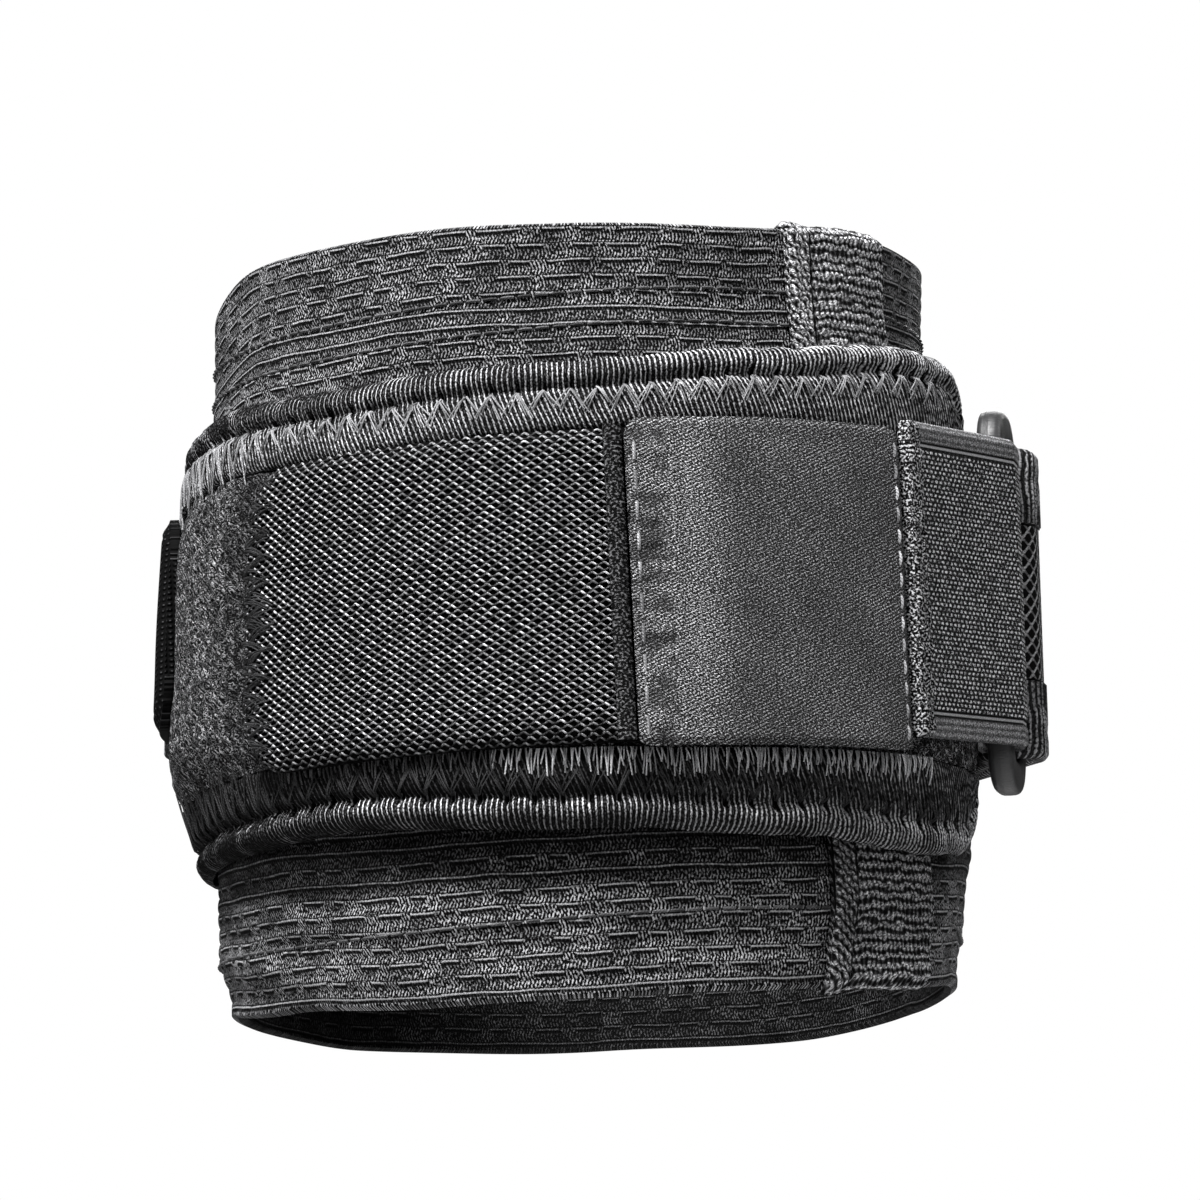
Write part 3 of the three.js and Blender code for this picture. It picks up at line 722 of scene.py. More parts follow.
def woven_tape(along, up):
    """Rows of oval knots, slanting on the folded strip at the tape's left."""
    wander = noise(along, up, 2.0, 1.6, 1.0)
    folded = along.between(-5.3, -5.9)
    height = up + wander * 0.45 + folded * along * 0.9
    row = height.wave(KNOT_HEIGHT).between(0.0, 0.8)
    column = (along + height.cell(KNOT_HEIGHT) * 0.33 + wander * 0.2).wave(KNOT_WIDTH)
    grain = noise(along, up, 0.2, 0.24, 3.0)
    knot = (row * 0.75 + 0.25) * (column * 0.72 + 0.28)
    seam = (along + 5.6).node("ABSOLUTE").between(0.1, 0.45)
    tone = knot.between(0.1, 1.0) * (grain * 1.1 + 0.1) * seam
    # painted shade: darker below the band, less so at the bottom fold, more on the folded strip there, and
    # on faces that look in at the arm
    level, inside, _ = place_and_facing(along.tree)
    lower = level.between(-0.022, -0.028) * (level.between(-0.043, -0.040) * 0.6 + 0.4)
    shade = (lower * -0.45 + 1) * (folded * lower * -0.35 + 1) * (inside * -0.6 + 1)
    return tone * shade, knot + grain * 0.6


def satin(along, up):
    """Fine slanting threads, with a puckered strip and a painted sheen beside it at the left."""
    slant = (along * 0.42 - up * 0.91).wave(0.4)
    grain = noise(along + up * 0.5, up, 0.22, 0.14, 2.0)
    soft = noise(along, up, 9, 12, 1.0)
    strip = along.between(5.2, 4.4)
    pucker = noise(along, up, 4.0, 2.0, 1.0)
    flecks = (slant * 0.3 + grain * 0.8).between(0.42, 1.05).power(2.3)
    # painted sheen: a lighter band beside the puckered strip, fading out to the right
    sheen = (along.between(3.8, 5.2) - along.between(6.0, 13)) * 1.5 + 1
    plain = flecks * (soft * 0.25 + 0.5) * sheen
    puckered = flecks * (pucker * 0.9 + 0.35)
    return plain * (1 - strip) + puckered * strip, slant * 0.3 + grain * 0.6 + pucker * strip


def elastic_web(along, up):
    """A fine weave of short raised dashes in rows, with plain rows along both edges."""
    row = (up + WEB_PITCH / 2).cell(WEB_PITCH)
    shift = row.node("MODULO", 2.0) * WEB_PITCH + chance(row, row) * 0.35
    grain = noise(along, up, 0.5, 0.3, 3.0)
    fine = noise(along, up, 0.16, 0.14)
    across = (along + shift + grain * 0.3).wave(WEB_PITCH * 2).between(0.1, 0.8)
    down = (up + fine * 0.16).wave(WEB_PITCH).between(0.1, 0.85)
    patch = noise(along, up, 2.2, 0.8, 3.0)
    woven = across * down * (grain * 1.1 + 0.15) * (patch * 0.8 + 0.5) + fine * 0.2
    edge = up.node("ABSOLUTE").between(15.9, 16.2)
    rows = (up + grain * 0.3).wave(0.8) * 0.75 + 0.25
    hem = ((along + grain * 0.5).wave(0.7) * 0.6 + 0.4) * (fine * 0.9 + 0.1) * rows * 0.7
    line = (up.node("ABSOLUTE") - 16.1).node("ABSOLUTE")
    plain = woven.between(0.08, 1.0) * (1 - edge) + hem * edge
    plain = plain * line.between(0.3, 0.6) + line.between(0.22, 0.08) * (fine * 0.4 + 0.25)
    rough = noise(along, up, 0.36, 0.3, 3.0).between(0.25, 1.0)
    sewn = along.between(3.5, 3.2)
    return plain * (1 - sewn) + rough * rough * sewn * 0.6, woven * (1 - sewn) + fine * 0.3 + rough * sewn


def hook_face(along, up):
    """Rows of tiny hooks on a moulded strip."""
    hooks = along.wave(0.9) * up.wave(0.7)
    grain = noise(along, up, 0.3, 0.3)
    return hooks.between(0.6, 1) * grain, hooks


def moulded(along, up):
    """Smooth plastic with a faint moulded grain."""
    grain = noise(along, up, 0.5, 0.5, 3.0)
    wear = noise(along, up, 7, 7, 2.0)
    return wear * 0.6 + grain * 0.2, grain


# Each finish: its dark and light tone, pattern, depth of relief in mm, roughness and, where it
# isn't the usual one, its specular level
FINISHES = {
    "elastic_knit": (0.0015, 0.36, elastic_knit, 0.4, 0.7),
    "ribbed_knit": (0.002, 0.6, ribbed_knit, 0.25, 0.6),
    "lower_rib": (0.002, 0.66, lower_rib, 0.25, 0.6),
    "pile_knit": (0.004, 0.5, pile_knit, 0.5, 0.9),
    "mesh_knit": (0.002, 0.5, mesh_knit, 0.5, 0.7),
    "mesh_base": (0.001, 0.006, mesh_base, 0.2, 0.9),
    "mesh_strand": (0.006, 0.8, strand, 0.06, 0.6),
    "woven_tape": (0.002, 0.98, woven_tape, 0.4, 0.6),
    "satin": (0.0015, 0.52, satin, 0.14, 0.5, 0.12),
    "elastic_web": (0.002, 0.8, elastic_web, 0.14, 0.7),
    "thread": (0.03, 0.6, yarn, 0.08, 0.5, 0.2),
    "dark_thread": (0.004, 0.16, yarn, 0.08, 0.5, 0.1),
    "black_thread": (0.003, 0.07, yarn, 0.08, 0.6, 0.05),
    # a brighter copy of the thread, as painted light on the right serging
    "painted_lit_thread": (0.05, 0.95, yarn, 0.08, 0.5, 0.2),
    "welt": (0.002, 0.2, elastic_web, 0.2, 0.7),
    "strap_knit": (0.006, 0.32, ribbed_knit, 0.25, 0.6),
    "hook_face": (0.002, 0.06, hook_face, 0.3, 0.7),
    "ring_plastic": (0.016, 0.035, moulded, 0.02, 0.4, 0.4),
}
FINISHES = {name: material(name, *look) for name, look in FINISHES.items()}


def cloth(width, length, area=None):
    """Works out in metres the flat size and area of cloth that was cut to a flat size in millimetres and is
    worn taut, and keeps neither.
    """
    flat = (width * MM, length * MM)
    size = None if area is None else area * MM * MM


def dress(piece, finish, slot, *nodes):
    """Gives a piece its finish and hides the parts of the nodes that it stands for; slot is not used."""
    piece.data.materials.append(FINISHES[finish])
    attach(piece, "root")
    if nodes:
        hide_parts(*nodes)
    return piece


# The sleeve

def sleeve_shares():
    """Shares of the sleeve's height where its rows of points lie, dense where it shows."""
    step = ROW_PITCH / 6 / SLEEVE_HEIGHT
    low = np.arange(0, 0.245, step)
    high = 1 - low[::-1]
    return np.concatenate([low, np.linspace(low[-1], high[0], 9)[1:-1], high])


def sleeve_waves(angle, height):
    """Soft wrinkles of the sleeve's two ends, in millimetres."""
    turn = np.radians(angle)
    end = ease(np.abs(height), 22, 40)
    broad = 0.35 * np.sin(5 * turn + 0.09 * height + 0.6) + 0.22 * np.sin(11 * turn - 0.2 * height)
    lower_left = hill(wrap_angle(angle, -180), -62, 22) * (height < 0)
    crease = 0.5 * np.sin(0.9 * height + 6 * turn) * lower_left
    lower_right = hill(wrap_angle(angle, -180), 88, 24) * (height < 0)
    return end * (broad + crease - SLEEVE_TUCK * lower_right)


def make_sleeve():
    angles = np.arange(600) * 0.6 - 180
    low = rim_height(angles, "bottom")
    high = rim_height(angles, "top") + TOP_LEFT_RISE * hill(angles, -60, 15)
    shares = sleeve_shares()
    height = lerp(low[:, None], high[:, None], shares)
    up = shares * SLEEVE_HEIGHT + 0 * height
    rows = np.abs(np.sin(np.pi * up / ROW_PITCH)) ** 0.6
    end_fade = ease(np.minimum(shares, 1 - shares) * SLEEVE_HEIGHT, 0, 1.2)
    free = ease(np.abs(height), HIDDEN_TO, SHOWN_FROM)
    amount = sleeve_waves(angles[:, None], height) * free + ROW_RELIEF * (rows - 1) * end_fade
    outer = displaced(polar(angles[:, None], sleeve_radius(height), height), amount)
    inner_shares = np.linspace(0, 1, 60)
    inner_height = lerp(low[:, None], high[:, None], inner_shares)
    inner_up = inner_shares * SLEEVE_HEIGHT + 0 * inner_height
    waves = sleeve_waves(angles[:, None], inner_height) * ease(np.abs(inner_height), HIDDEN_TO, SHOWN_FROM)
    inner = polar(angles[:, None], sleeve_radius(inner_height) - SLEEVE_WALL + waves, inner_height)
    along = np.radians(np.append(angles, 180)) * SLEEVE_RADIUS
    low_lip = (outer[:, :1] + inner[:, :1]) / 2 - (0, 0, 0.4)
    high_lip = (outer[:, -1:] + inner[:, -1:]) / 2 + (0, 0, 0.4)
    outer = np.concatenate([low_lip, outer, high_lip], axis=1)
    up = np.concatenate([up[:, :1], up, up[:, -1:]], axis=1) + ROW_PITCH * 0.4
    inner_up = inner_up + ROW_PITCH * 0.4
    piece = wall("sleeve_knit", outer, inner, along, up, inner_up, is_loop=True)
    cloth(TURN * SLEEVE_RADIUS, SLEEVE_HEIGHT)
    return dress(piece, "elastic_knit", "elastic_knit", "elastic_sleeve")


def make_sleeve_stitches():
    """Run stitches round the sleeve's two hems."""
    pitch = math.degrees(RUN_STITCH_PITCH / SLEEVE_RADIUS)
    paths = []
    for share in HEM_HEIGHTS:
        for angle in np.arange(-180, 180, pitch):
            places = angle + pitch * np.linspace(0, 0.72, 6)
            height = share * SLEEVE_HEIGHT / 2 + 0.5 * np.sin(np.radians(places * 3))
            lift = 0.25 * np.sin(np.linspace(0, np.pi, 6)) - 0.1
            radius = sleeve_radius(height) + sleeve_waves(places, height) + lift
            paths.append(polar(places, radius, height))
    return dress(tubes("sleeve_run_stitches", paths, 0.19), "dark_thread", "elastic_knit")


# The seam tape

def tape_route(offset, low, high, count):
    """Radii and heights of the tape at an offset from the sleeve, from one return to the other."""
    inside = lambda height: sleeve_radius(height) - SLEEVE_WALL - offset
    outside = lambda height: sleeve_radius(height) + offset
    bend_low, bend_high = low - 0.6 * offset, high + 0.5 * offset
    middle = (sleeve_radius(low) * 2 - SLEEVE_WALL) / 2
    top_middle = (sleeve_radius(high) * 2 - SLEEVE_WALL) / 2
    lower = [(inside(h), h) for h in np.linspace(low + TAPE_RETURN, low + 0.5, 8)]
    upper = [(inside(h), h) for h in np.linspace(high - 0.5, high - TAPE_RETURN, 8)]
    run = [(outside(h), h) for h in np.linspace(low + 0.5, high - 0.5, 60)]
    points = [*lower, (middle, bend_low), *run, (top_middle, bend_high), *upper]
    return smooth_curve(points, count)


def make_tape():
    half_width = math.degrees(TAPE_WIDTH / 2 / SLEEVE_RADIUS)
    columns, rows = 87, 400
    angles = np.linspace(TAPE_ANGLE - half_width, TAPE_ANGLE + half_width, columns)
    along = np.linspace(-TAPE_WIDTH / 2, TAPE_WIDTH / 2, columns)
    grids = []
    for offset in (CLEARANCE + TAPE_THICKNESS * 0.8, CLEARANCE):
        routes = []
        for angle in angles:
            low, high = float(rim_height(angle, "bottom")), float(rim_height(angle, "top"))
            routes.append(tape_route(offset, low, high, rows))
        route = np.array(routes)
        shown = ease(np.abs(route[..., 1]), HIDDEN_TO, SHOWN_FROM)
        waves = sleeve_waves(angles[:, None], route[..., 1]) * shown
        grids.append(polar(angles[:, None], route[..., 0] + waves, route[..., 1]))
    outer, inner = grids
    up = np.linspace(0, TAPE_LENGTH, rows) + 0 * along[:, None]
    lift = 0.13 * np.floor(up / KNOT_HEIGHT)
    knots = ripple(up, KNOT_HEIGHT) * (0.55 + 0.45 * np.cos(TURN * (along[:, None] + lift) / KNOT_WIDTH))
    hem = ease(-along, 5.4, 6.0)[:, None]
    edge = ease(TAPE_WIDTH / 2 - np.abs(along), 0, 0.5)[:, None]
    diagonal = ripple(along[:, None] * 0.9 + up, KNOT_HEIGHT)
    free = ease(np.abs(outer[..., 2]), HIDDEN_TO, SHOWN_FROM)
    uneven = 0.12 * soft_noise(up.shape, (2, 4), SEED + 14)
    amount = (lerp(0.26 * knots, 0.3 + 0.28 * diagonal, hem) + uneven) * edge * free
    outer = displaced(outer, amount)
    piece = wall("seam_tape_weave", outer, inner, along, up, up)
    cloth(TAPE_WIDTH, TAPE_LENGTH)
    return dress(piece, "woven_tape", "woven_tape", "seam_tape")


# The band

def band_angles(step):
    """Even angles along the band."""
    count = int((BAND_TO - BAND_FROM) / step)
    return np.linspace(BAND_FROM, BAND_TO, count + 1)


def make_band_core():
    angles = band_angles(0.7)
    low = band_edge(angles, "bottom") + border_width(angles, "bottom") + CLEARANCE
    high = band_edge(angles, "top") - border_width(angles, "top") - CLEARANCE
    shares = np.linspace(0, 1, 64)
    height = lerp(low[:, None], high[:, None], shares)
    outer = polar(angles[:, None], band_outer(angles[:, None], height), height)
    shape = height.shape
    tufts = soft_noise(shape, (2, 2), SEED) * 0.16 + soft_noise(shape, (9, 9), SEED + 1) * 0.2
    to_edge = np.minimum(height - low[:, None], high[:, None] - height)
    pinch = 0.5 * (1 - ease(to_edge, 0, 2.5))
    bare = 1 - ((angles > PANEL_FROM + 2) & (angles < BAND_TO))[:, None]
    rise = ease(angles, HOOK_END + 0.5, HOOK_END + 5)
    swell = PILE_SWELL * (rise - ease(angles, HOOK_END + 8, PANEL_FROM))
    amount = np.where(bare > 0, tufts - pinch + swell[:, None] * ease(to_edge, 0, 5), -0.1 - pinch)
    tuck = tuck_share(angles[:, None], height - band_edge(angles, "bottom")[:, None])
    hug = tuck * stand_off(angles[:, None], height)
    amount = amount - BAND_TUCK * tuck - hug
    outer = displaced(outer, amount)
    inner = polar(angles[:, None], band_inner(angles[:, None], height) - hug, height)[:, ::7]
    along = np.radians(angles) * BAND_RADIUS
    piece = wall("band_pile", outer, inner, along, height, height[:, ::7])
    return dress(piece, "pile_knit", "pile_knit", "padded_band")


def tuck_share(angle, inset):
    """1 where the band is drawn in to the sleeve, at its lower edge on the left, and 0 elsewhere."""
    return ease(angle, -180, -130) * (1 - ease(angle, -72, -30)) * (1 - ease(inset, 3, 16))


def border_section(side):
    """The border's grid of outer points, its places on the cloth and its inner points."""
    way = 1 if side == "top" else -1
    angles = band_angles(0.18)
    drop = band_corner_drop(angles)
    share = (BORDER_WIDTH - drop) / BORDER_WIDTH
    edge = band_edge(angles, side) - way * drop
    profile = smooth_curve([(row["inset"], row["sink"]) for row in ROLL_PROFILE], 26)
    inset, sink = profile[:, 0], profile[:, 1]
    sewn = np.maximum(inset - GROOVE_INSET, 0) / (BORDER_WIDTH - GROOVE_INSET)
    spread = inset + sewn * (border_width(angles, side) - BORDER_WIDTH)[:, None]
    height = edge[:, None] - way * spread * share[:, None]
    outer_radius = band_outer(angles[:, None], height)
    room = outer_radius - band_inner(angles[:, None], height)
    depth = sink * room
    if side == "bottom":
        tuck = tuck_share(angles[:, None], inset)
        depth = np.minimum(depth + BAND_TUCK * tuck, 0.93 * room)
        depth = depth + tuck * stand_off(angles[:, None], height)
    radius = outer_radius - depth
    return way, angles, share, edge, inset, height, polar(angles[:, None], radius, height)


def make_border(side):
    way, angles, share, edge, inset, height, grid = border_section(side)
    arc = np.radians(angles)[:, None] * BAND_RADIUS
    below = np.maximum(inset - GROOVE_INSET, 0)
    along = arc - way * below * 0.35
    roll_up = np.concatenate([[0], np.cumsum(np.hypot(np.diff(inset), 0.25))])
    ribs, fine = ripple(along, RIB_PITCH), ripple(along * 2, RIB_PITCH)
    sewn = ease(inset, GROOVE_INSET, GROOVE_INSET + 1.5)
    stitch = ripple(arc, STITCH_PITCH) ** 6
    dimple = stitch * hill(inset, GROOVE_INSET, 0.75) * 0.7
    pull = hill(inset, GROOVE_INSET, 1.6) * stitch * 0.25
    wander = soft_noise(height.shape, (16, 8), SEED + 2) * 0.18
    amount = lerp(RIB_RELIEF * ribs, RIB_RELIEF * 0.7 * fine, sewn) - dimple - pull + wander
    outer = displaced(grid, amount)
    width = border_width(angles, side)
    inner_inset = np.stack([width, 1.4 + 0 * width], axis=1)
    inner_height = edge[:, None] - way * inner_inset * share[:, None]
    inner_radius = band_inner(angles[:, None], inner_height)
    if way < 0:
        tuck = tuck_share(angles[:, None], inner_inset)
        inner_radius = inner_radius - tuck * stand_off(angles[:, None], inner_height)
    inner = polar(angles[:, None], inner_radius, inner_height)
    up = roll_up + 0 * height
    flat = np.concatenate([along + 0 * height, arc, arc], axis=1)
    name, finish = ("upper_border", "ribbed_knit") if way > 0 else ("lower_border", "lower_rib")
    piece = wall(f"{name}_knit", outer, inner, flat, up, inner_height)
    return dress(piece, finish, "ribbed_knit", name)


def on_border(side, arc, inset, lift):
    """A place on a border's face from a length along the band, an inset and a lift."""
    way = 1 if side == "top" else -1
    angle = np.degrees(arc / BAND_RADIUS)
    height = band_edge(angle, side) - way * (band_corner_drop(angle) + inset)
    tuck = tuck_share(angle, inset) * (side == "bottom")
    drawn_in = tuck * (BAND_TUCK + stand_off(angle, height))
    return polar(angle, band_outer(angle, height) + lift - drawn_in, height)


def make_zigzag(side, name, legs, reach, radius, finish):
    """Zigzag threads between a border's stitch row and the panel's edge."""
    rng = np.random.default_rng(SEED + len(side))
    to_arc = math.radians(1) * BAND_RADIUS
    start = math.ceil((BAND_FROM + 9) * to_arc / STITCH_PITCH)
    end = math.floor((BAND_TO - 9) * to_arc / STITCH_PITCH)
    share = np.linspace(0, 1, 7)
    paths = []
    for number in range(start, end):
        for way in (-0.5, 0.5):
            for leg in range(legs):
                spread = (leg - (legs - 1) / 2) * 0.3 + rng.uniform(-0.2, 0.2)
                arc = STITCH_PITCH * (number + way * share) + spread * (0.4 + share)
                on_pile = 1 - ease(STITCH_PITCH * number / to_arc, PANEL_FROM - 5, PANEL_FROM + 3)
                length = reach + rng.uniform(-0.9, 0.3) + on_pile * rng.uniform(0.5, 3.5)
                inset = GROOVE_INSET + 0.3 * rng.uniform(0, 1) + length * share
                lift = 0.05 + 0.16 * np.sin(np.pi * share) - 0.9 * (1 - ease(share, 0, 0.2))
                paths.append(on_border(side, arc, inset, lift))
    return dress(tubes(name, paths, radius), finish, "ribbed_knit")


def make_serging(name, start_angle, end_angle, finish):
    """Short threads between two angles, that sew the panel and the label to the lower border."""
    rng = np.random.default_rng(SEED + len(name))
    to_arc = math.radians(1) * BAND_RADIUS
    share = np.linspace(0, 1, 6)
    paths = []
    for arc in np.arange(start_angle * to_arc, end_angle * to_arc, SERGE_PITCH):
        length = rng.uniform(1.0, 3.4)
        start = arc + rng.uniform(-0.25, 0.25)
        inset = border_width(arc / to_arc, "bottom") + 0.3 - length * share
        lift = 0.1 + 0.2 * np.sin(np.pi * share) + 0.2 * (1 - share)
        paths.append(on_border("bottom", start + rng.uniform(-0.6, 0.6) * share, inset, lift))
    return dress(tubes(name, paths, FINE_THREAD), finish, "ribbed_knit")


# The panel, the welt and the label

def panel_surface(angle, height, lift):
    half = panel_half_height(angle)
    shoulder = ease(half - np.abs(height), 0, 1.6)
    sink = (1 - shoulder) * 0.9
    return polar(angle, band_outer(angle, height) + CLEARANCE + PANEL_THICKNESS - sink + lift, height)


def make_panel():
    angles = np.linspace(PANEL_FROM, LABEL_TO - degrees_on_panel(CLEARANCE), 200)
    shares = np.linspace(-1, 1, 90)
    height = panel_half_height(angles)[:, None] * shares
    outer = panel_surface(angles[:, None], height, -0.4)
    inner = polar(angles[:, None], band_outer(angles[:, None], height) + CLEARANCE, height)
    along = np.radians(angles) * panel_outer(0, 0)
    piece = wall("panel_base", outer, inner, along, height, height)
    cloth(along[-1] - along[0], PANEL_HEIGHT)
    return dress(piece, "mesh_base", "mesh_knit", "mesh_panel")


def make_panel_strands():
    """Strands that wave beside each other, so that staggered holes stay between them."""
    radius = float(panel_outer(0, 0))
    start, end = math.radians(PANEL_FROM + 0.6) * radius, math.radians(WELT_ANGLE - 1) * radius
    along = np.arange(start, end, HOLE_WIDTH / 7)
    angle = np.degrees(along / radius)
    rows = int(PANEL_HEIGHT / HOLE_HEIGHT)
    room = panel_half_height(angle) - 0.1
    sway = 0.22 * soft_noise((rows, len(along)), (7, 40), SEED + 3)
    sway += 0.07 * soft_noise((rows, len(along)), (1, 7), SEED + 13)
    paths, places = [], []
    for row in range(rows):
        middle = (row - (rows - 1) / 2) * HOLE_HEIGHT
        phase = TURN * along / HOLE_WIDTH + math.pi * row
        height = middle + STRAND_SWING * HOLE_HEIGHT * np.cos(phase) + sway[row]
        height = np.clip(height, -room, room)
        paths.append(panel_surface(angle, height, -0.1 + 0.16 * np.sin(phase)))
        places.append(HOLE_WIDTH * (phase / TURN - 0.25 + 20 * row))
    piece = tubes("panel_strands", paths, STRAND_RADIUS, places=np.array(places))
    return dress(piece, "mesh_strand", "mesh_knit")


def make_panel_seam():
    """Frayed zigzag threads that sew the panel's left end to the pile."""
    rng = np.random.default_rng(SEED + 5)
    to_degrees = math.degrees(1 / float(panel_outer(0, 0)))
    share = np.linspace(0, 1, 7)
    pitch = PANEL_STITCH_PITCH
    paths = []
    for number in range(int(PANEL_HEIGHT / pitch) + 1):
        middle = (number - PANEL_HEIGHT / pitch / 2) * pitch
        for way in (-0.5, 0.5):
            for leg in range(7):
                start, reach = rng.uniform(-1.0, 1.2), rng.uniform(2.5, 4.6)
                inset = start + reach * (1 - share)
                height = middle + way * pitch * share + rng.uniform(-0.7, 0.7) + 0.3 * np.sin(4 * share)
                angle = PANEL_FROM + inset * to_degrees
                room = panel_half_height(np.maximum(angle, PANEL_FROM)) - 0.2
                off_panel = ease(-inset, 0, 0.6) * PANEL_THICKNESS
                lift = 0.05 + 0.3 * np.sin(np.pi * share) - off_panel
                paths.append(panel_surface(angle, np.clip(height, -room, room), lift))
    return dress(tubes("panel_seam_threads", paths, FINE_THREAD), "black_thread", "mesh_knit")


def on_panel(angle, height, lift):
    return polar(angle, panel_outer(angle, height) + CLEARANCE + lift, height)


def make_welt():
    half = WELT_WIDTH / 2
    along = np.linspace(-half, half, 17)
    angles = WELT_ANGLE + np.array([degrees_on_panel(a) for a in along])
    height = np.linspace(-PANEL_HEIGHT / 2, PANEL_HEIGHT / 2, 180) + 0 * along[:, None]
    crown = WELT_THICKNESS * np.sqrt(1 - 0.75 * (along / half) ** 2)[:, None]
    ribs = 0.08 * np.cos(TURN * height / 0.6)
    outer = on_panel(angles[:, None], height, crown + ribs)
    inner = on_panel(angles[:, None], height, 0)
    piece = wall("welt_weave", outer, inner, along, height, height)
    return dress(piece, "welt", "woven_tape", "label_welt")


def make_label():
    angles = np.linspace(LABEL_FROM, LABEL_TO, 170)
    along = np.radians(angles - LABEL_FROM) * panel_outer(0, 0)
    width = along[-1]
    drop = corner_drop(np.minimum(along, width - along), LABEL_CORNER)
    low, high = drop * 0.3 - LABEL_HEIGHT / 2, LABEL_HEIGHT / 2 - drop
    height = lerp(low[:, None], high[:, None], np.linspace(0, 1, 170))
    ridge = 0.35 * hill(along, 5.2, 0.8)[:, None]
    left = 0.25 * (1 - ease(along, 0, 1.2))[:, None] * ripple(height, LABEL_STITCH_PITCH)
    sag = 0.3 * soft_noise(height.shape, (34, 34), SEED + 8)
    pucker = 0.22 * soft_noise(height.shape, (14, 6), SEED + 12) * (1 - ease(along, 4.4, 5.8))[:, None]
    edge = np.minimum(np.minimum(along, width - along)[:, None], LABEL_HEIGHT / 2 - np.abs(height))
    roll = 0.4 * (1 - ease(edge, 0, 0.9))
    amount = LABEL_THICKNESS + ridge + pucker - left + sag * ease(edge, 0, 4) - roll
    outer = on_panel(angles[:, None], height, amount)
    inner = on_panel(angles[:, None], height, 0)
    piece = wall("label_satin", outer, inner, along, height, height)
    cloth(width, LABEL_HEIGHT)
    return dress(piece, "satin", "satin", "woven_label")


def make_label_stitches():
    """Stitches along the label's sewn sides."""
    paths = []
    for angle, pitch in ((LABEL_FROM + 1.1, LABEL_STITCH_PITCH), (LABEL_TO - 1.2, 2.6)):
        for height in np.arange(-LABEL_HEIGHT / 2 + 1.2, LABEL_HEIGHT / 2 - 1.5, pitch):
            places = height + np.linspace(0, pitch * 0.6, 6)
            lift = LABEL_THICKNESS - 0.1 + 0.25 * np.sin(np.linspace(0, np.pi, 6))
            paths.append(on_panel(angle, places, lift))
    return dress(tubes("label_stitches", paths, 0.2), "thread", "satin")


# The ring and what runs through it

def fold_radius(thickness):
    return RING_THICKNESS / 2 + CLEARANCE + thickness / 2


def fold_reach(thickness):
    return fold_radius(thickness) + thickness / 2 - RING_BEVEL


SLOT_WIDTH = fold_reach(TAB_THICKNESS) + fold_reach(STRAP_EDGE_THICKNESS) + CLEARANCE
SLOT_HEIGHT = max(TAB_HEIGHT, STRAP_HEIGHT) + 2 * CLEARANCE
RING_WIDTH = SLOT_WIDTH + 2 * RING_BAR
RING_HEIGHT = SLOT_HEIGHT + 2 * RING_END_BAR
RING_CENTRE = polar(RING_ANGLE, SLEEVE_RADIUS + CLEARANCE + BAND_THICKNESS + RING_RISE, RING_MIDDLE)


def face_slope(angle):
    reach = STRAP_HEIGHT / 2
    return (band_outer(angle, reach) - band_outer(angle, -reach)) / (2 * reach)


def rounded_outline(width, height, corner, count):
    """Points of a rounded rectangle, evenly spread over its four sides and corners."""
    x, y = width / 2 - corner, height / 2 - corner
    points = []
    for quarter, (cx, cy) in enumerate(((x, y), (-x, y), (-x, -y), (x, -y))):
        turn = math.pi / 2 * (quarter + np.linspace(0, 1, count))
        points.extend(zip(cx + corner * np.cos(turn), cy + corner * np.sin(turn)))
    return np.array(points)


def make_ring():
    slot_corner = max(RING_CORNER - RING_BAR, RING_BEVEL / 2)
    outside = rounded_outline(RING_WIDTH, RING_HEIGHT, RING_CORNER, 14)
    inside = rounded_outline(SLOT_WIDTH, SLOT_HEIGHT, slot_corner, 14)
    turn = TURN * np.arange(28) / 28
    round_x = np.sign(np.cos(turn)) * np.abs(np.cos(turn)) ** 0.55
    round_z = np.sign(np.sin(turn)) * np.abs(np.sin(turn)) ** 0.55
    middle, half = (outside + inside) / 2, (outside - inside) / 2
    flat_points = middle[:, None] + half[:, None] * round_x[:, None]
    depth = np.broadcast_to(round_z * RING_THICKNESS / 2, flat_points.shape[:2])
    local = np.concatenate([flat_points, depth[..., None]], axis=-1)
    tilt = math.pi / 2 + math.atan(float(face_slope(RING_ANGLE)))
    matrix = Matrix.Rotation(math.radians(RING_YAW), 3, "Z") @ Matrix.Rotation(tilt, 3, "X")
    rings = local @ np.array(matrix).T + RING_CENTRE
    round_it, over_it = np.meshgrid(np.arange(len(rings) + 1) * 1.6, turn, indexing="ij")
    flat = np.stack([round_it, over_it], axis=-1)
    piece = loft("ring_moulding", rings, flat, is_loop=True)
    return dress(piece, "ring_plastic", "ring_plastic", "ring_buckle")


def at_ring(along, out):
    """A place beside the ring seen from above: along its width, and out from its middle."""
    normal = outward(RING_YAW)
    width = np.array([-normal[1], normal[0]])
    return RING_CENTRE[:2] + width * along + normal * out


def angle_of(point):
    return float(wrap_angle(math.degrees(math.atan2(point[0], -point[1])), 0))


def rest_radius(angle, middle, height):
    """The radius at which a strap's middle clears what it lies on over its whole height."""
    shares = np.linspace(-height / 2, height / 2, 5)
    faces = [lying_face(angle, middle + up) - face_slope(angle) * up for up in shares]
    return float(max(faces))


def lying_face(angle, height):
    is_on_band = wrap_angle(angle, BAND_FROM) < BAND_TO + BAND_STEP
    return (band_outer(angle, height) if is_on_band else sleeve_radius(height)) + CLEARANCE


def cross(a, b):
    return float(a[0] * b[1] - a[1] * b[0])


def inner_run_radius(angle, middle):
    return rest_radius(angle, middle, STRAP_HEIGHT) + STRAP_EDGE_THICKNESS / 2


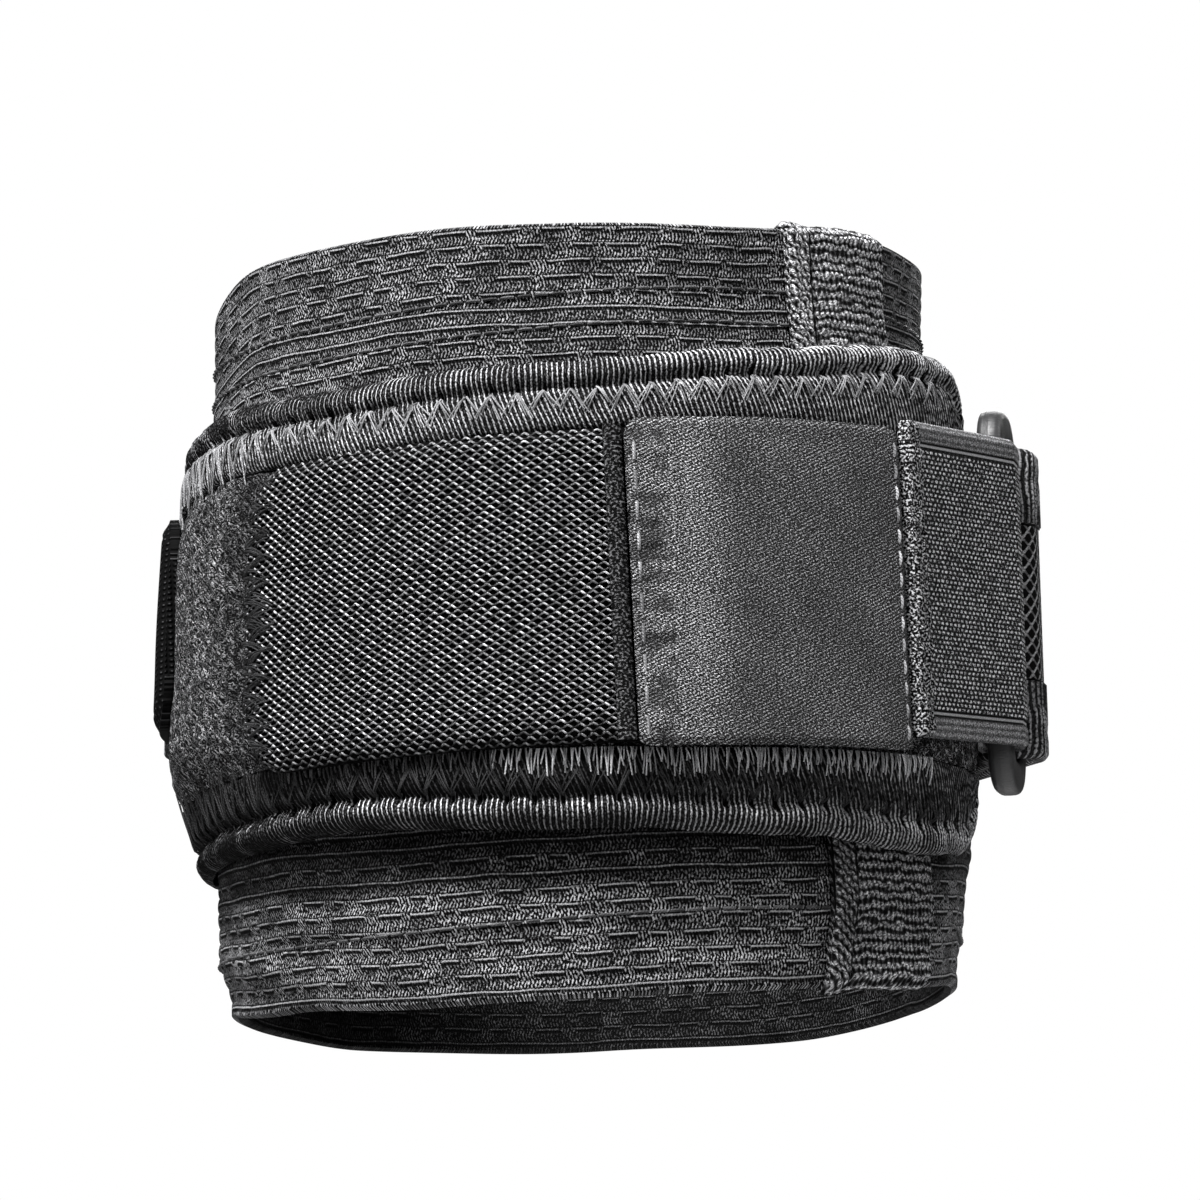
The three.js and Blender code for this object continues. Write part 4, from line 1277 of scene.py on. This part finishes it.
def outer_run_radius(angle, middle):
    layer = STRAP_EDGE_THICKNESS + CLEARANCE
    over_anchor = 1 - ease(angle, STRAP_ANCHOR, STRAP_ANCHOR + 15)
    over_hook = ease(angle, HOOK_FROM - 10, HOOK_FROM - 1)
    return inner_run_radius(angle, middle) + layer * over_anchor + (HOOK_THICKNESS + CLEARANCE) * over_hook


def station(point, angle, middle):
    """A place on a strap's route: its point from above, its lean for each millimetre of
    height, and its middle height."""
    return (*point, *(outward(angle) * face_slope(angle)), middle)


def at_radius(angle, radius, middle):
    return station(outward(angle) * radius, angle, middle)


def ring_station(along, out):
    return station(at_ring(along, out), RING_ANGLE, RING_MIDDLE)


def fold_round_bar(side, thickness):
    """A half turn round a bar of the ring, from its outer to its inner side."""
    centre = side * (SLOT_WIDTH / 2 + RING_BEVEL)
    radius = fold_radius(thickness)
    turns = math.pi / 2 - math.pi * np.linspace(0, 1, 25)
    return [ring_station(centre - side * radius * math.cos(t), radius * math.sin(t)) for t in turns]


def taut_run(start, end, surface):
    """Stations of a taut strap between two others, straight or held out by what is under it."""
    a, b = np.array(start[:2]), np.array(end[:2])
    low, high = angle_of(a), angle_of(b)
    chord = b - a
    run = []
    for angle in np.linspace(low, high, max(int(abs(high - low)), 3) + 1)[1:-1]:
        middle = lerp(start[4], end[4], (angle - low) / (high - low))
        straight = cross(a, chord) / cross(outward(angle), chord)
        run.append(at_radius(angle, max(straight, surface(angle, middle)), middle))
    return run


def tab_route():
    half = TAB_THICKNESS / 2
    start_angle = LABEL_TO + 2 * degrees_on_panel(CLEARANCE)
    start = at_radius(start_angle, panel_outer(start_angle, 0) + CLEARANCE + half, TAB_MIDDLE)
    corner = ring_station(-RING_WIDTH / 2, fold_radius(TAB_THICKNESS))
    fold = fold_round_bar(-1, TAB_THICKNESS)
    surface = lambda angle, middle: rest_radius(angle, middle, TAB_HEIGHT) + half
    back = ring_station(-RING_WIDTH / 2, -fold_radius(TAB_THICKNESS))
    tail_angle = BAND_TO + 2 * degrees_on_panel(CLEARANCE)
    chord = np.array(back[:2]) - np.array(fold[-1][:2])
    reach = cross(np.array(back[:2]), chord) / cross(outward(tail_angle), chord)
    tail = at_radius(tail_angle, reach, RING_MIDDLE)
    return np.array([start, *taut_run(start, corner, surface), corner, *fold, back, tail])


def strap_route():
    band_end = BAND_FROM + 360
    reach = fold_radius(STRAP_EDGE_THICKNESS)
    share_at = lambda angle: (angle - RING_ANGLE) / (HOOK_TO - RING_ANGLE)
    middle_at = lambda angle: lerp(RING_MIDDLE, HOOK_MIDDLE, share_at(angle))
    anchored = [
        at_radius(angle, inner_run_radius(angle, ANCHOR_MIDDLE), ANCHOR_MIDDLE)
        for angle in np.linspace(STRAP_ANCHOR, band_end, 29)
    ]
    inside_ring = ring_station(RING_WIDTH / 2, -reach)
    outside_ring = ring_station(RING_WIDTH / 2, reach)
    fold = fold_round_bar(1, STRAP_EDGE_THICKNESS)[::-1]
    landing = [
        at_radius(angle, outer_run_radius(angle, middle_at(angle)), middle_at(angle))
        for angle in np.linspace(band_end, STRAP_END, 133)
    ]
    inner = taut_run(anchored[-1], inside_ring, inner_run_radius)
    outer = taut_run(outside_ring, landing[0], outer_run_radius)
    return np.array([*anchored, *inner, inside_ring, *fold, outside_ring, *outer, *landing])


def resampled(route, step):
    """A route with stations at even lengths, and those lengths."""
    lengths = np.concatenate([[0], np.cumsum(np.linalg.norm(np.diff(route[:, :2], axis=0), axis=1))])
    places = np.linspace(0, lengths[-1], int(lengths[-1] / step) + 1)
    return np.stack([np.interp(places, lengths, column) for column in route.T], axis=1), places


def strap_heights(route):
    """Height of the strap at each station, narrowing to the hook tab at its end."""
    angles = np.array([angle_of(here[:2]) for here in route])
    folded = np.argmin(angles)
    share = ease(angles, STRAP_TAPER_FROM, STRAP_END) * (np.arange(len(route)) > folded)
    return lerp(STRAP_HEIGHT, STRAP_END_HEIGHT, share)


def swept(route, offset, height):
    """Points at offsets across a route and heights over its middle, a row for each station."""
    tangent = np.gradient(route[:, :2], axis=0)
    tangent /= np.linalg.norm(tangent, axis=1, keepdims=True)
    across = np.stack([tangent[:, 1], -tangent[:, 0]], axis=1)
    offset, height = np.broadcast_arrays(offset, height)
    flat = route[:, None, :2] + across[:, None] * offset[..., None]
    flat = flat + route[:, None, 2:4] * height[..., None]
    return np.concatenate([flat, (route[:, None, 4] + height)[..., None]], axis=-1)


def make_tab():
    route, along = resampled(tab_route(), 0.19)
    height = np.linspace(-TAB_HEIGHT / 2, TAB_HEIGHT / 2, 130) + 0 * along[:, None]
    to_edge = TAB_HEIGHT / 2 - np.abs(height)
    edge = ease(to_edge, 0, 0.7) * 0.55 - 0.25 * hill(to_edge, 2.9, 0.35)
    lumps = 0.3 * soft_noise(height.shape, (4, 4), SEED + 9)
    hem = (0.25 + lumps) * (1 - ease(along, 3.1, 3.4))[:, None] * ease(along, 0, 0.5)[:, None]
    front = TAB_THICKNESS / 2 - 0.55 + edge + hem
    back = -TAB_THICKNESS / 2 + 0.55 - edge
    outer, inner = swept(route, front, height), swept(route, back, height)
    piece = wall("tab_web", outer, inner, along, height, height)
    cloth(along[-1], TAB_HEIGHT)
    return dress(piece, "elastic_web", "elastic_web", "elastic_tab")


def make_strap_mesh(bindings):
    route, along = resampled(strap_route(), 0.7)
    half = strap_heights(route) / 2 - STRAP_EDGE_WIDTH - CLEARANCE
    height = half[:, None] * np.linspace(-1, 1, 30)
    face = STRAP_THICKNESS / 2 + 0 * height
    outer, inner = swept(route, face, height), swept(route, -face, height)
    piece = wall("strap_mesh", outer, inner, along, height, height)
    width = 2 * half.max()
    area = along[-1] * 2 * half.mean()
    cloth(along[-1], width, area)
    return dress(piece, "mesh_knit", "mesh_knit", "closure_strap")


def make_strap_edge(way):
    route, along = resampled(strap_route(), EDGE_RIB_PITCH / 4)
    total = strap_heights(route) / 2
    half = STRAP_EDGE_THICKNESS / 2
    rounding = half * (1 - np.sin(np.linspace(0.3, math.pi / 2, 6)))
    inset = np.concatenate([np.linspace(STRAP_EDGE_WIDTH, half * 2, 7), rounding])
    reach = np.where(inset > half, half, half * np.sqrt(np.maximum(1 - (1 - inset / half) ** 2, 0)))
    ribs = 0.16 * np.cos(TURN * along / EDGE_RIB_PITCH)[:, None]
    groove = -0.22 * hill(inset, 3.2, 0.5)
    height = way * (total[:, None] - inset)
    face = reach + (ribs + groove) * ease(reach, 0, half)
    outer, inner = swept(route, face, height), swept(route, -face, height)
    side = "upper" if way > 0 else "lower"
    piece = wall(f"strap_{side}_rib", outer, inner, along * RIB_PITCH / EDGE_RIB_PITCH, height, height)
    return dress(piece, "strap_knit", "ribbed_knit", f"strap_{side}_edge")


def make_hook_tab():
    angles = np.linspace(HOOK_FROM, HOOK_TO, 120)
    distance = np.radians(HOOK_TO - angles) * band_outer(HOOK_TO, 0)
    half = HOOK_HEIGHT / 2 - corner_drop(distance, HOOK_CORNER)
    shares = np.linspace(-1, 1, 60)
    height = HOOK_MIDDLE + half[:, None] * shares
    base = band_outer(angles[:, None], height) + CLEARANCE
    to_edge = np.minimum(half[:, None] * (1 - np.abs(shares)), distance[:, None])
    groove = 0.15 * hill(to_edge, 2.2, 0.35)
    crown = HOOK_THICKNESS + 0.7 - 0.9 * (1 - ease(to_edge, 0, 2.0)) - groove
    outer, inner = polar(angles[:, None], base + crown, height), polar(angles[:, None], base, height)
    along = np.radians(angles) * band_outer(HOOK_TO, 0)
    piece = wall("hook_strip", outer, inner, along, height, height)
    return dress(piece, "hook_face", "hook_face", "hook_tab")


# The setting

TARGET = np.array([2.25, 0, 6.6])
CAMERA_DISTANCE = 700
CAMERA_RISE = 9.2  # how far the camera looks up
CAMERA_ROLL = 2.8
VIEW_WIDTH = 150  # width of the picture at the target
FLOOR_REACH = 30.0  # in metres
FLOOR_LEVEL = -0.6
SENSOR = 36


def make_camera():
    rise, roll = math.radians(CAMERA_RISE), math.radians(CAMERA_ROLL)
    forward = np.array([0, math.cos(rise), math.sin(rise)])
    level = np.array([1.0, 0, 0])
    upright = np.cross(level, forward)
    right = level * math.cos(roll) - upright * math.sin(roll)
    up = level * math.sin(roll) + upright * math.cos(roll)
    data = bpy.data.cameras.new("camera")
    data.sensor_width = SENSOR
    data.lens = SENSOR * CAMERA_DISTANCE / VIEW_WIDTH
    data.clip_start = 0.01
    camera = in_scene("camera", data)
    turn = Matrix(np.stack([right, up, -forward], axis=1)).to_4x4()
    place = (TARGET - forward * CAMERA_DISTANCE) * MM
    camera.matrix_world = Matrix.Translation(Vector(place)) @ turn
    bpy.context.scene.camera = camera


def make_light(name, place, size, power):
    data = bpy.data.lights.new(name, "AREA")
    data.size = size
    data.energy = power
    light = in_scene(name, data)
    light.location = place
    light.rotation_euler = (Vector((0, 0, 0)) - Vector(place)).to_track_quat("-Z", "Y").to_euler()


def seen_by_camera(tree):
    path = tree.nodes.new("ShaderNodeLightPath")
    return Field(tree, path.outputs["Is Camera Ray"])


def make_world():
    """White where the camera looks, and a soft dimmer light on the object."""
    world = bpy.data.worlds.new("studio")
    bpy.context.scene.world = world
    world.use_nodes = True
    tree = world.node_tree
    seen = tree.nodes["Background"]
    seen.inputs["Color"].default_value = (1, 1, 1, 1)
    seen.inputs["Strength"].default_value = 1
    dim = tree.nodes.new("ShaderNodeBackground")
    dim.inputs["Color"].default_value = (1, 1, 1, 1)
    dim.inputs["Strength"].default_value = 0.05
    blend = tree.nodes.new("ShaderNodeMixShader")
    put(tree, blend.inputs[0], seen_by_camera(tree))
    tree.links.new(dim.outputs[0], blend.inputs[1])
    tree.links.new(seen.outputs[0], blend.inputs[2])
    tree.links.new(blend.outputs[0], tree.nodes["World Output"].inputs["Surface"])


def make_floor():
    mesh = bpy.data.meshes.new("floor")
    ways = ((-1, -1), (1, -1), (1, 1), (-1, 1))
    corners = [(x * FLOOR_REACH, y * FLOOR_REACH, FLOOR_LEVEL) for x, y in ways]
    mesh.from_pydata(corners, [], [(0, 1, 2, 3)])
    finish = bpy.data.materials.new("floor")
    finish.use_nodes = True
    tree = finish.node_tree
    shader = tree.nodes["Principled BSDF"]
    shader.inputs["Base Color"].default_value = (0.6, 0.6, 0.6, 1)
    shader.inputs["Emission Color"].default_value = (1, 1, 1, 1)
    put(tree, shader.inputs["Emission Strength"], seen_by_camera(tree) * 0.85)
    mesh.materials.append(finish)
    in_scene("floor", mesh)


def set_stage():
    make_camera()
    make_world()
    make_floor()
    make_light("key", (-0.3, -0.62, 1.0), 0.3, 46)
    make_light("fill", (0.6, -0.9, 0.4), 0.5, 3.5)
    make_light("left_rim", (-0.95, 0.0, 0.35), 0.4, 5)
    make_light("right_rim", (0.9, 0.1, 0.5), 0.4, 3)
    make_light("back", (0.2, 1.0, 0.6), 0.6, 16)
    bpy.context.scene.view_settings.view_transform = "Standard"


set_stage()
make_sleeve()
make_sleeve_stitches()
make_tape()
make_band_core()
make_border("top")
make_border("bottom")
make_zigzag("top", "upper_zigzag", 3, 3.0, 0.08, "thread")
make_zigzag("bottom", "lower_zigzag", 3, 3.6, 0.08, "black_thread")
# the left serging's dark thread is painted shade under the panel, the right serging's brighter thread is
# painted light
make_serging("left_serging", PANEL_FROM + 4, SERGE_MIDDLE, "dark_thread")
make_serging("right_serging", SERGE_MIDDLE, LABEL_TO + 8, "painted_lit_thread")
make_panel()
make_panel_strands()
make_panel_seam()
make_welt()
make_label()
make_label_stitches()
make_tab()
make_ring()
make_strap_mesh([make_strap_edge(1), make_strap_edge(-1)])
make_hook_tab()
